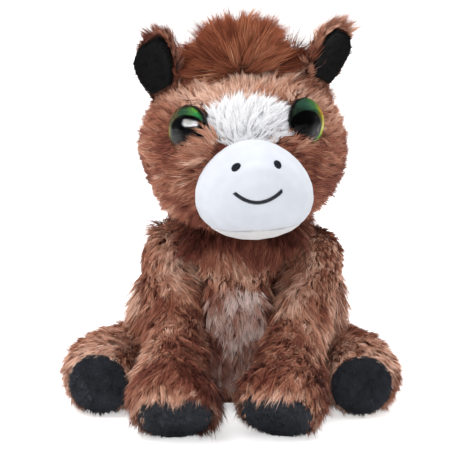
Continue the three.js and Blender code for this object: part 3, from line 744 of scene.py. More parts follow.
def tree_of(nodes: Sequence[str]) -> BVHTree:
    """A search tree over the faces of some nodes."""
    joined = bmesh.new()
    for node in nodes:
        joined.from_mesh(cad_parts[node].data)
    tree = BVHTree.FromBMesh(joined)
    joined.free()
    return tree


def show(mesh: bpy.types.Mesh, name: str) -> Piece:
    """Links a mesh to the scene as an object of that name."""
    piece = bpy.data.objects.new(name, mesh)
    bpy.context.scene.collection.objects.link(piece)
    return piece


def finished(form: Form, name: str, modifiers: Sequence[tuple[str, dict]] = ()) -> bpy.types.Mesh:
    """Turns a bmesh into a smooth mesh with its modifiers worked in.

    Args:
        form: The bmesh, which is freed.
        name: The mesh's name.
        modifiers: Each modifier's type and settings, in order.

    Returns:
        The finished mesh.
    """
    raw = bpy.data.meshes.new(name)
    form.to_mesh(raw)
    form.free()
    holder = show(raw, name + "_raw")
    for kind, settings in modifiers:
        modifier = holder.modifiers.new(kind.lower(), kind)
        for key, value in settings.items():
            setattr(modifier, key, value)
    mesh = bpy.data.meshes.new_from_object(holder.evaluated_get(bpy.context.evaluated_depsgraph_get()))
    mesh.name = name
    bpy.data.objects.remove(holder)
    bpy.data.meshes.remove(raw)
    mesh.shade_smooth()
    return mesh


def hand_over(
    piece: Piece, body: str, material: Material, replaced: Sequence[str] = ()
) -> Piece:
    """Dresses a piece, sets it on its body and hides the nodes that it stands for.

    Args:
        piece: The finished piece.
        body: The body that it rides on.
        material: Its finish.
        replaced: The nodes that it stands for.

    Returns:
        The piece.
    """
    piece.data.materials.clear()
    piece.data.materials.append(material)
    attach(piece, body)
    if replaced:
        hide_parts(*replaced)
    log.info("%s: %d faces", piece.name, len(piece.data.polygons))
    return piece


@dataclass
class OuterSheet:
    """The outer face of a skin, smoothed, without its walls and inside.

    Attributes:
        node: The skin's node.
        inside: The nodes behind it.
        gap: What lies nearer to them than this is cut away, in millimetres, where no reach is given.
        levels: How often the sheet is smoothed.
        reach: How far behind a face they are looked for before it is kept, in millimetres.
        mesh: The finished sheet.
    """

    node: str
    inside: Sequence[str]
    gap: float = 0.0
    levels: int = 1
    reach: float = 0.0
    mesh: bpy.types.Mesh = field(init=False)

    def __post_init__(self) -> None:
        """Cuts the inside away and smooths what is left."""
        form = merged_copy(self.node)
        if self.reach:
            cover = set(self.cover(form))
            bmesh.ops.delete(form, geom=[face for face in form.faces if face not in cover], context="FACES")
        elif self.inside:
            tree = tree_of(self.inside)
            near = [v for v in form.verts if (tree.find_nearest(v.co)[3] or 1.0) < self.gap * MM]
            bmesh.ops.delete(form, geom=near, context="VERTS")
        self.mesh = finished(
            form, self.node + "_sheet",
            [("SUBSURF", {"levels": self.levels, "render_levels": self.levels})],
        )
        self.mesh.calc_loop_triangles()
        count = len(self.mesh.loop_triangles)
        corners = np.zeros(count * 3, np.int32)
        self.mesh.loop_triangles.foreach_get("vertices", corners)
        corners = corners.reshape(-1, 3)
        self._places, self._normals = self._read("co")[corners], self._read("normal")[corners]
        edges = self._places[:, 1:] - self._places[:, :1]
        self._areas = np.linalg.norm(np.cross(edges[:, 0], edges[:, 1]), axis=1) / 2
        self._rooms = self.rooms()[corners]

    def _read(self, what: str) -> Rows:
        """The places or the normals of the mesh's vertices, one a row."""
        values = np.zeros(len(self.mesh.vertices) * 3, np.float32)
        self.mesh.vertices.foreach_get(what, values)
        return values.reshape(-1, 3).astype(float)

    def cover(self, form: Form) -> list[bmesh.types.BMFace]:
        """The faces of a form that have the inside close behind them.

        Args:
            form: A copy of the node.

        Returns:
            Its outer faces.
        """
        return [face for face, near in self._near(form, -1).items() if near]

    def _near(self, form: Form, side: int) -> dict[bmesh.types.BMFace, bool]:
        """Looks for the inside from each face of a form.

        Args:
            form: A copy of the node.
            side: 1 to look in front of each face, and -1 to look behind it.

        Returns:
            Whether it lies within reach there, by face.
        """
        tree = tree_of(self.inside)
        form.normal_update()
        near = {}
        for face in form.faces:
            way = face.normal * side
            start = face.calc_center_median() + way * RAY_START * MM
            near[face] = tree.ray_cast(start, way, self.reach * MM)[0] is not None
        return near

    def rooms(self) -> Rows:
        """How far each corner of the sheet lies from the inside, in metres."""
        if not self.reach:
            return np.full(len(self.mesh.vertices), 1.0)
        tree = tree_of(self.inside)
        return np.array([tree.find_nearest(v.co)[3] or 1.0 for v in self.mesh.vertices])

    @property
    def area(self) -> float:
        """The sheet's area in square millimetres."""
        return float(self._areas.sum()) / MM**2

    def scatter(self, count: int, rng: np.random.Generator) -> tuple[Rows, Rows, Rows]:
        """Picks places spread evenly over the sheet.

        Args:
            count: How many.
            rng: Where the chances come from.

        Returns:
            The places, the outward normals and the room to the inside there.
        """
        steps = np.cumsum(self._areas)
        draws = (np.arange(count) + rng.random(count)) / count * steps[-1]
        face = np.searchsorted(steps, draws).clip(0, len(steps) - 1)
        a, b = rng.random(count), rng.random(count)
        fold = a + b > 1
        a[fold], b[fold] = 1 - a[fold], 1 - b[fold]
        share = np.stack([1 - a - b, a, b], axis=1)[:, :, None]
        places = (self._places[face] * share).sum(axis=1)
        rooms = (self._rooms[face] * share[:, :, 0]).sum(axis=1)
        return places, unit((self._normals[face] * share).sum(axis=1)), rooms

    def backing(self, name: str, inset: float, lined: bool = True) -> Piece:
        """Makes the sewn cloth under the pile: the skin with its outer face let in, and its lining.

        Args:
            name: The piece's name.
            inset: How far in the outer face lies, in millimetres.
            lined: Whether the cloth goes on round the filling, under what is sewn over it.

        Returns:
            The piece.
        """
        form = merged_copy(self.node)
        tree = tree_of(self.inside)
        outward: dict[bmesh.types.BMVert, Vector] = {}
        for face in self.cover(form):
            for vertex in face.verts:
                outward[vertex] = outward.get(vertex, Vector()) + face.normal * face.calc_area()
        for vertex, way in outward.items():
            way.normalize()
            room = tree.ray_cast(vertex.co - way * RAY_START * MM, -way, BACKING_LOOK * MM)[3] or inset * MM
            vertex.co -= way * min(inset * MM, BACKING_SHARE_OF_ROOM * room)
        if lined:
            for node in self.inside:
                lining = merged_copy(node)
                lining.normal_update()
                places = [v.co + v.normal * LINING_RISE * MM for v in lining.verts]
                for vertex, place in zip(lining.verts, places):
                    vertex.co = place
                held = bpy.data.meshes.new(name + "_lining")
                lining.to_mesh(held)
                lining.free()
                form.from_mesh(held)
                bpy.data.meshes.remove(held)
        return show(finished(form, name), name)


@dataclass
class BareSheet(OuterSheet):
    """The part of a form that no skin lies over, such as the hollow that a leg swings in.

    Here inside names the skins, which are looked for in front of each face.
    """

    def cover(self, form: Form) -> list[bmesh.types.BMFace]:
        """The faces of a form that have none of the skins close in front of them."""
        return [face for face, near in self._near(form, 1).items() if not near]

    def rooms(self) -> Rows:
        """No limit on how deep the strands are rooted."""
        return np.full(len(self.mesh.vertices), 1.0)


@dataclass(frozen=True)
class PileCut:
    """How a pile is cut and brushed, in millimetres and degrees.

    Attributes:
        density: Strands in a square millimetre.
        length: Of a strand, and spread how much it varies, as a share.
        lean: From the normal.
        width: Of a strand at its root.
        lock_spacing: Between the locks that the strands gather in.
        lock_pull: How far a strand's tip goes over to its lock, from 0 to 1.
        swirl: How far the brushing turns, and swirl_scale over what length.
        bend: How a strand bends over, and sag how it hangs, both as a share of its length.
        depth: How far below the sheet it is rooted.
        patch: How much the tone varies, and patch_scale over what length.
        tone: The middle tone, from 0 to 1.
        smooth: How far the light falls as on the sheet and not as on each blade, from 0 to 1.
        lock_turn: How far a lock, and strand_turn how far a strand, is turned off the brushing, in radians.
        lock_length: How much the length varies from lock to lock, as a share.
        lock_lean: How much the lean varies from lock to lock, and strand_lean from strand to strand.
        fleck: How much the tone varies over fleck_scale.
        lock_tone: How much the tone varies from lock to lock, and strand_tone from strand to strand.
    """

    density: float = 4.3
    length: float = 7.8
    spread: float = 0.24
    lean: float = 50.0
    width: float = 0.46
    lock_spacing: float = 2.6
    lock_pull: float = 0.4
    swirl: float = 26.0
    swirl_scale: float = 24.0
    bend: float = 0.22
    sag: float = 0.1
    depth: float = 3.2
    patch: float = 0.3
    patch_scale: float = 17.0
    tone: float = 0.48
    smooth: float = 0.6
    lock_turn: float = 0.35
    strand_turn: float = 0.16
    lock_length: float = 0.16
    lock_lean: float = 12.0
    strand_lean: float = 8.0
    fleck: float = 0.2
    fleck_scale: float = 6.0
    lock_tone: float = 0.11
    strand_tone: float = 0.07


@dataclass
class Pile:
    """Strands grown on a sheet: flat tapering blades that bend over and gather in locks.

    Attributes:
        name: The piece's name.
        sheet: Where it grows.
        cut: How it is cut and brushed.
        flow: The way that it is brushed at each place and normal.
        seed: Picks its chances.
        trim: A factor on its length there, and no strands where it is near 0.
        bias: What is added to its tone there.
        stand: A factor on its lean there.
    """

    name: str
    sheet: OuterSheet
    cut: PileCut
    flow: Field
    seed: int
    trim: Optional[Field] = None
    bias: Optional[Field] = None
    stand: Optional[Field] = None

    def grow(self) -> list[Piece]:
        """Grows the strands.

        Returns:
            The pieces, none of them with more than STRAND_LIMIT strands.
        """
        cut, rng = self.cut, np.random.default_rng(self.seed)
        places, normals, rooms = self.sheet.scatter(int(self.sheet.area * cut.density), rng)
        lengths = cut.length * MM * (1 + cut.spread * rng.standard_normal(len(places)).clip(-2, 2))
        if self.trim is not None:
            factor = self.trim(places, normals)
            keep = factor > LEAST_FACTOR
            places, normals, rooms = places[keep], normals[keep], rooms[keep]
            lengths = (lengths * factor)[keep]
        lock_count = int(self.sheet.area / cut.lock_spacing**2) + 1
        locks, lock_normals, lock_rooms = self.sheet.scatter(lock_count, rng)
        nearest = self._nearest(places, locks)
        chance = rng.standard_normal((lock_count, 4)).clip(-2, 2)
        lock_turns = chance[:, 0] * cut.lock_turn
        strand_turns = rng.standard_normal(len(places)) * cut.strand_turn
        away = self._headings(locks, lock_normals, lock_turns)
        heading = self._headings(places, normals, lock_turns[nearest] + strand_turns)
        lengths = lengths * (1 + cut.lock_length * chance[nearest, 1])
        lock_lean = cut.lean + cut.lock_lean * chance[:, 2]
        lean = lock_lean[nearest] + cut.strand_lean * rng.standard_normal(len(places))
        if self.stand is not None:
            lean = lean * self.stand(places, normals)
            lock_lean = lock_lean * self.stand(locks, lock_normals)
        lean, lock_lean = np.radians(lean), np.radians(lock_lean)
        roots = places - normals * self._depths(rooms)
        lock_roots = locks - lock_normals * self._depths(lock_rooms)
        spine = self._spine(roots, normals, heading, lean, lengths)
        lock_spine = self._spine(
            lock_roots[nearest], lock_normals[nearest], away[nearest], lock_lean[nearest], lengths
        )
        for step, share in enumerate(JOINTS):
            spine[:, step] += (lock_spine[:, step] - spine[:, step]) * cut.lock_pull * share**LOCK_CURVE
        tone = (
            cut.tone
            + cut.patch * lattice_noise(places, cut.patch_scale * MM, self.seed)
            + cut.fleck * lattice_noise(places, cut.fleck_scale * MM, self.seed + 7)
            + cut.lock_tone * chance[nearest, 3]
            + cut.strand_tone * rng.standard_normal(len(places))
        )
        if self.bias is not None:
            tone = tone + self.bias(places, normals)
        least = FLOOR_GAP * MM + FLOOR_SPREAD * MM * rng.random(len(places))[:, None]
        spine[:, :, 2] = np.maximum(spine[:, :, 2], least)
        order = np.argsort(places[:, 1], kind="stable")
        parts = max(1, math.ceil(len(order) / STRAND_LIMIT))
        made = []
        for number, rows in enumerate(np.array_split(order, parts)):
            name = self.name if parts == 1 else f"{self.name}_{number + 1}"
            made.append(self._blades(name, spine[rows], normals[rows], tone[rows].clip(*TONE_RANGE), rng))
        return made

    def _depths(self, rooms: Rows) -> Rows:
        """How deep the strands are rooted, clear of the inside."""
        return np.clip(rooms - ROOT_CLEARANCE * MM, LEAST_DEPTH * MM, self.cut.depth * MM)[:, None]

    @staticmethod
    def _nearest(places: Rows, locks: Rows) -> Rows:
        """The number of the lock nearest to each place."""
        tree = KDTree(len(locks))
        for number, place in enumerate(locks):
            tree.insert(place, number)
        tree.balance()
        return np.fromiter((tree.find(place)[1] for place in places), np.int64, len(places))

    def _headings(self, places: Rows, normals: Rows, turns: Rows) -> Rows:
        """The way that the pile is brushed at each place, along the sheet.

        Args:
            places: Roots on the sheet.
            normals: Outward normals there.
            turns: Radians that each is turned off the brushing.

        Returns:
            Unit directions.
        """
        flow = self.flow(places, normals)
        flat = unit(flow - normals * np.sum(flow * normals, axis=1, keepdims=True))
        wind = lattice_noise(places, self.cut.swirl_scale * MM, self.seed + 3)
        return spun(flat, normals, np.radians(self.cut.swirl) * SWIRL_GAIN * wind + turns)

    def _spine(self, roots: Rows, normals: Rows, heading: Rows, lean: Rows, lengths: Rows) -> Rows:
        """The points along each strand.

        Args:
            roots: Where the strands start.
            normals: Outward normals.
            heading: The way that they are brushed.
            lean: Radians from the normal.
            lengths: Of the strands.

        Returns:
            An array of strand, point, place.
        """
        cut = self.cut
        start = normals * np.cos(lean)[:, None] + heading * np.sin(lean)[:, None]
        turn = heading * cut.bend - normals * cut.bend * CURL_IN + np.array([0, 0, -cut.sag])
        steps = [roots + lengths[:, None] * (s * start + s * s * turn) for s in JOINTS]
        return np.stack(steps, axis=1)

    def _blades(
        self, name: str, spine: Rows, normals: Rows, tone: Rows, rng: np.random.Generator
    ) -> Piece:
        """Builds the blades of one piece.

        Args:
            name: The piece's name.
            spine: The points of each strand.
            normals: The sheet's normals at the roots.
            tone: Each strand's tone, from 0 to 1.
            rng: Where the chances come from.

        Returns:
            The piece.
        """
        count = len(spine)
        way = unit(spine[:, -1] - spine[:, 0])
        side = spun(unit(np.cross(way, normals)), way, rng.uniform(-BLADE_TWIST, BLADE_TWIST, count))
        half = self.cut.width * MM / 2 * (WIDTH_LEAST + WIDTH_SPREAD * rng.random(count))[:, None]
        corners = np.empty((count, BLADE_POINTS, 3), np.float32)
        for step, share in enumerate(JOINT_WIDTHS):
            corners[:, 2 * step] = spine[:, step] - side * half * share
            corners[:, 2 * step + 1] = spine[:, step] + side * half * share
        corners[:, 4] = spine[:, 2]
        face = unit(np.cross(side, way))
        face *= np.sign(np.sum(face * normals, axis=1, keepdims=True) + 1e-9)
        lit = unit(normals * self.cut.smooth + face * (1 - self.cut.smooth))
        first = np.arange(count)[:, None] * BLADE_POINTS
        loops = (first + BLADE_CORNERS).astype(np.int32)
        flip = np.sum(np.cross(side, way) * normals, axis=1) < 0
        loops[flip] = (first + BLADE_CORNERS_TURNED).astype(np.int32)[flip]
        per_blade = len(BLADE_CORNERS)
        starts = (np.arange(count)[:, None] * per_blade + BLADE_FACE_STARTS).astype(np.int32)
        flat = np.empty((count, BLADE_POINTS, 2), np.float32)
        flat[:, :, 0] = tone[:, None] + np.array([-1, 1, -1, 1, 0]) * TONE_HALF_WIDTH
        flat[:, :, 1] = MAP_FOOT + MAP_HEIGHT * np.array([0.0, 0.0, JOINTS[1], JOINTS[1], 1.0])
        mesh = bpy.data.meshes.new(name)
        mesh.vertices.add(count * BLADE_POINTS)
        mesh.vertices.foreach_set("co", corners.ravel())
        mesh.loops.add(count * per_blade)
        mesh.loops.foreach_set("vertex_index", loops.ravel())
        mesh.polygons.add(starts.size)
        mesh.polygons.foreach_set("loop_start", starts.ravel())
        mesh.polygons.foreach_set("use_smooth", np.ones(starts.size, bool))
        mesh.update(calc_edges=True)
        mesh.uv_layers.new(name=BAKE_MAP)
        mesh.uv_layers[BAKE_MAP].data.foreach_set("uv", flat.reshape(-1, 2)[loops.ravel()].ravel())
        mesh.normals_split_custom_set_from_vertices(np.repeat(lit, BLADE_POINTS, axis=0).astype(np.float32))
        return show(mesh, name)


def steady(*way: float) -> Field:
    """Brushing that goes the same way everywhere."""
    return lambda places, normals: np.tile(way, (len(places), 1))


def plant(pile: Pile, body: str, material: Material) -> None:
    """Grows a pile and hands over its pieces."""
    for piece in pile.grow():
        hand_over(piece, body, material)


def sew_backing(
    sheet: OuterSheet, name: str, body: str, material: Material, lined: bool = True
) -> Piece:
    """Makes a sheet's backing cloth and hands it over.

    Args:
        sheet: The skin's outer face.
        name: The piece's name.
        body: The body that it rides on.
        material: Its finish.
        lined: Whether it goes on round the filling.

    Returns:
        The piece.
    """
    return hand_over(sheet.backing(name, BACKING_INSET, lined), body, material, [sheet.node])


def soft_panel(node: str, title: str, voxel: float, passes: int, rise: float = 0.0) -> Piece:
    """A piece with rolled edges: the node's own form, closed over at a fine grain and smoothed.

    Args:
        node: The node that it follows.
        title: The piece's name.
        voxel: Grain in millimetres.
        passes: How often it is smoothed.
        rise: How far its faces stand out, in millimetres, or in where it is less than 0.

    Returns:
        The piece.
    """
    mesh = finished(
        merged_copy(node), title,
        [
            ("REMESH", {"mode": "VOXEL", "voxel_size": voxel * MM, "adaptivity": 0.0}),
            ("SMOOTH", {"factor": 0.5, "iterations": passes}),
            ("DISPLACE", {"strength": rise * MM, "mid_level": 0.0}),
        ],
    )
    return show(mesh, title)


def stuffing(node: str, body: str, finishes: Finishes, finish: str = "fibre_filling") -> Piece:
    """The filling inside a skin, rounded off.

    Args:
        node: The filling's node.
        body: The body that it rides on.
        finishes: The materials.
        finish: Its finish.

    Returns:
        The piece.
    """
    piece = soft_panel(node, node + "_stuffing", voxel=2.5, passes=3, rise=-0.7)
    hand_over(piece, body, finishes[finish], [node])
    return piece


# Sub-assemblies


@dataclass
class Torso:
    """The seated body: sewn skin, belly panel, filling and the pellet bag in its seat."""

    finishes: Finishes
    body: str = "torso"
    front_middle: float = 4.0
    long_pile: PileCut = PileCut(
        lock_spacing=2.2, lock_pull=0.34, sag=0.14, swirl=38.0, swirl_scale=19.0, patch=0.36, tone=0.5
    )
    belly_pile: PileCut = PileCut(
        length=6.6, lean=52.0, swirl=14.0, lock_spacing=2.2, width=0.42, patch=0.6, patch_scale=9.0, tone=0.5
    )
    # Painted light: the pile in the hollows that the legs swing in has a lighter tone than the body's, to
    # lift the shade that falls there.
    hollow_pile: PileCut = PileCut(
        density=2.1, length=7.0, lean=66.0, width=0.62, bend=0.05, depth=0.2, lock_spacing=3.0, sag=0.05,
        tone=0.6,
    )
    rump_light: float = 0.42

    def __post_init__(self) -> None:
        """Finds the middle of the belly panel."""
        self.panel_middle = middle("belly_panel")

    def flow(self, places: Rows, normals: Rows) -> Rows:
        """Brushed down and a little outwards."""
        way = np.zeros_like(places)
        way[:, 0] = 0.35 * np.sign(places[:, 0]) * fade_mm(np.abs(places[:, 0]), 10, 45)
        way[:, 1] = 0.15 * np.sign(normals[:, 1])
        way[:, 2] = -1.0
        return way

    def trim(self, places: Rows, normals: Rows) -> Rows:
        """Cuts the body's pile.

        Args:
            places: Roots on the skin.
            normals: Outward normals there.

        Returns:
            A factor on the pile's length: 0 under the seat, small just above it, ragged over the belly and
            large on the haunches and the shoulders.
        """
        seat = (places[:, 2] < 3 * MM) & (normals[:, 2] < -0.5)
        low = 0.25 + 0.75 * fade_mm(places[:, 2], 6, 24)
        front = (np.abs(places[:, 0] - self.panel_middle[0]) < 26 * MM) & (places[:, 1] < 0)
        over = fade_mm(places[:, 2], 74, 79) * (1 - fade_mm(places[:, 2], 86, 98))
        ragged = 0.5 + 0.45 * lattice_noise(places, 6 * MM, 91)
        size = np.where(front, 1 - ragged * over, 1.0) * (1 + 0.6 * self.haunch(places))
        return np.where(seat, 0.0, low * size * (1 + 0.7 * self.yoke(places)))

    def stand(self, places: Rows, normals: Rows) -> Rows:
        """Pile that stands up on the shoulders."""
        return 1 - 0.45 * self.yoke(places)

    def yoke(self, places: Rows) -> Rows:
        """How far places lie on top of the shoulders beside the neck, from 0 to 1."""
        near = fade_mm(np.abs(places[:, 0] - self.front_middle * MM), 16, 26)
        return near * (1 - fade_mm(places[:, 0], 34, 44)) * fade_mm(places[:, 2], 94, 102)

    def hollow_trim(self, places: Rows, normals: Rows) -> Rows:
        """Pile in the hollows of the legs alone."""
        inside = (places[:, 2] > 5 * MM) & (places[:, 2] < 104 * MM) & (np.abs(places[:, 0]) > 12 * MM)
        return np.where(inside, 1.0, 0.0)

    def bias(self, places: Rows, normals: Rows) -> Rows:
        """Lighter pile on the haunches and over the belly, and darker pile in the neck's shade."""
        off = np.abs(places[:, 0] - self.front_middle * MM)
        front = fade_mm(-places[:, 1], 0, 12) * (1 - fade_mm(off, 20, 34))
        over = fade_mm(places[:, 2], 72, 80) * (1 - fade_mm(places[:, 2], 84, 94))
        # Painted shade: the front pile at the top of the chest, under the jaw, is darkened to stand in for
        # the head's shadow.
        neck = fade_mm(places[:, 2], 100, 108)
        return self.rump_light * self.haunch(places) + 0.03 * front * over - 0.3 * front * neck

    def frost(self, places: Rows, normals: Rows) -> Rows:
        """Frosted pile over the upper half of the belly, darker pile below and at its sides."""
        high = fade_mm(places[:, 2], 44, 58)
        side = fade_mm(np.abs(places[:, 0] - self.panel_middle[0]), 8, 20)
        return 0.4 * high + 0.13 * (1 - high) - 0.14 * side

    @staticmethod
    def haunch(places: Rows) -> Rows:
        """How far places lie on the haunches, from 0 to 1."""
        side = fade_mm(np.abs(places[:, 0]), 40, 54)
        height = fade_mm(places[:, 2], 16, 34) * (1 - fade_mm(places[:, 2], 78, 96))
        return side * height * fade_mm(places[:, 1], -26, 0)

    def build(self) -> None:
        """Builds and dresses the body's pieces."""
        brown = self.finishes["brown_backing"]
        chestnut = self.finishes["chestnut_pile"]
        skin = OuterSheet("body_skin", ["body_filling"], reach=SKIN_REACH)
        backing = sew_backing(skin, "torso_backing", self.body, brown)
        fur = Pile("torso_pile", skin, self.long_pile, self.flow, 11, self.trim, self.bias, self.stand)
        plant(fur, self.body, chestnut)
        belly = OuterSheet("belly_panel", ["body_filling"], reach=SKIN_REACH)
        panel = sew_backing(belly, "belly_backing", self.body, brown, lined=False)
        fur = Pile("belly_pile", belly, self.belly_pile, self.flow, 13, self.trim, self.frost)
        plant(fur, self.body, self.finishes["belly_pile"])
        hollow = BareSheet("body_filling", ["body_skin", "belly_panel", "pellet_bag"], reach=7.0)
        fur = Pile("torso_hollow_pile", hollow, self.hollow_pile, self.flow, 17, self.hollow_trim)
        plant(fur, self.body, chestnut)
        stuffing("body_filling", self.body, self.finishes)
        stuffing("pellet_bag", self.body, self.finishes, "bag_cloth")


@dataclass
class Leg:
    """One stuffed leg with its nap sole."""

    finishes: Finishes
    name: str
    seed: int
    long_pile: PileCut = PileCut(
        lean=52.0, lock_spacing=2.2, lock_pull=0.34, swirl=30.0, swirl_scale=20.0, patch=0.34, tone=0.6
    )
    nap: PileCut = PileCut(
        density=2.2, length=2.6, lean=30.0, width=0.5, lock_spacing=2.5, lock_pull=0.3, depth=0.9,
        sag=0.0, bend=0.1, patch=0.25, tone=0.45,
    )

    def __post_init__(self) -> None:
        """Finds the way that the leg runs."""
        self.root = middle(self.name + "_filling")
        self.end = middle(self.name + "_sole")
        self.pad = tree_of([self.name + "_sole"])
        self.hind = "hind" in self.name
        self.outward = math.copysign(1.0, self.end[0])

    def flow(self, places: Rows, normals: Rows) -> Rows:
        """Brushed along the leg towards the sole, and down."""
        way = unit(self.end[None, :] - self.root[None, :]) * np.ones((len(places), 1))
        way[:, 2] -= 0.35
        return way

    def trim(self, places: Rows, normals: Rows) -> Rows:
        """Shorter pile below, round the sole, on the inner shin and the outer shoulder, longer pile above.

        Args:
            places: Roots on the skin.
            normals: Outward normals there.

        Returns:
            A factor on the pile's length.
        """
        under = (places[:, 2] < 4 * MM) & (normals[:, 2] < -0.6)
        off, fringe = self._off_sole(places), self._fringe(normals)
        size = 0.55 + 0.45 * np.maximum(off, fringe) + 0.08 * fringe * (1 - off)
        if not self.hind:
            share = self._share(places)
            inner = fade(-self.outward * normals[:, 0], 0.1, 0.6)
            shin = fade(share, 0.3, 0.45) * (1 - fade(share, 0.62, 0.72))
            flare = 0.3 if self.outward < 0 else -0.1
            size = size * (1 - 0.75 * inner * shin) * (1 + flare * inner * fade(share, 0.72, 0.82))
            outer = fade_mm(np.abs(places[:, 0]), 40, 50) * fade_mm(places[:, 2], 72, 86)
            if self.outward > 0:
                side = fade_mm(places[:, 0], 56, 64) * fade_mm(places[:, 2], 60, 74)
                outer = np.maximum(outer, side)
            size = size * (1 + 0.5 * self._shoulder(places, normals)) * (1 - 0.48 * outer)
        return np.where(under, 0.45, size)

    def stand(self, places: Rows, normals: Rows) -> Rows:
        """Pile that stands out round the sole, but for the fringe that hangs over its top."""
        share = 0.3 + 0.7 * np.maximum(self._off_sole(places), 0.95 * self._fringe(normals))
        return share if self.hind else share * (1 - 0.4 * self._shoulder(places, normals))

    @staticmethod
    def _shoulder(places: Rows, normals: Rows) -> Rows:
        """How far places lie on top of the shoulder, from 0 to 1."""
        near = 1 - fade_mm(np.abs(places[:, 0]), 38, 46)
        return near * fade_mm(places[:, 2], 84, 97) * fade(normals[:, 2], 0.1, 0.6)

    def _fringe(self, normals: Rows) -> Rows:
        """How far a front leg's pile lies on top of the foot, from 0 to 1."""
        return np.zeros(len(normals)) if self.hind else fade(normals[:, 2], 0.15, 0.6)

    def _share(self, places: Rows) -> Rows:
        """How far places lie along the leg, from 0 in its filling's middle to 1 at the sole."""
        reach = (places - self.root) @ unit((self.end - self.root)[None, :])[0]
        return reach / np.linalg.norm(self.end - self.root)

    def _off_sole(self, places: Rows) -> Rows:
        """How far places lie from the sole, from 0 beside it to 1."""
        return fade_mm(np.array([self.pad.find_nearest(place)[3] for place in places]), 1, 9)

    def bias(self, places: Rows, normals: Rows) -> Rows:
        """Lighter pile at the ends of the hind legs and round every sole, darker insteps."""
        share = self._share(places)
        edge = fade(share, 0.82, 1.0)
        if self.hind:
            return 0.12 + 0.26 * fade(share, 0.35, 0.8)
        left = self.outward < 0
        shin = (0.08 if left else 0.02) * (1 - fade(share, 0.4, 0.55))
        return shin + 0.16 * edge - (0.34 if left else 0.2) * fade(share, 0.5, 0.68) * (1 - edge)

    def build(self) -> None:
        """Builds and dresses the leg's pieces."""
        filling = self.name + "_filling"
        skin = OuterSheet(self.name + "_skin", [filling], reach=SKIN_REACH)
        backing = sew_backing(
            skin, self.name + "_backing", self.name, self.finishes["brown_backing"]
        )
        fur = Pile(
            self.name + "_pile", skin, self.long_pile, self.flow, self.seed, self.trim, self.bias, self.stand
        )
        plant(fur, self.name, self.finishes["chestnut_pile"])
        sole = soft_panel(self.name + "_sole", self.name + "_sole_cloth", voxel=1.0, passes=6)
        hand_over(sole, self.name, self.finishes["sole_nap"], [self.name + "_sole"])
        face = OuterSheet(self.name + "_sole", [filling], reach=6.0)
        fur = Pile(self.name + "_nap", face, self.nap, steady(0.15, 0.0, -1.0), self.seed + 5)
        plant(fur, self.name, self.finishes["sole_nap_pile"])
        stuffing(filling, self.name, self.finishes)


@dataclass
class Tail:
    """The short tail at the back."""

    finishes: Finishes
    pile: PileCut = PileCut(
        density=4.2, length=14.0, lean=62.0, lock_spacing=4.0, lock_pull=0.6, swirl=14.0, sag=0.35, depth=4.5
    )

    def build(self) -> None:
        """Builds and dresses the tail."""
        core = soft_panel("tail", "tail_core", voxel=1.2, passes=4, rise=-2.5)
        hand_over(core, "tail", self.finishes["brown_backing"], ["tail"])
        fur = Pile("tail_pile", OuterSheet("tail", []), self.pile, steady(0.0, 0.2, -1.0), 71)
        plant(fur, "tail", self.finishes["mane_pile"])


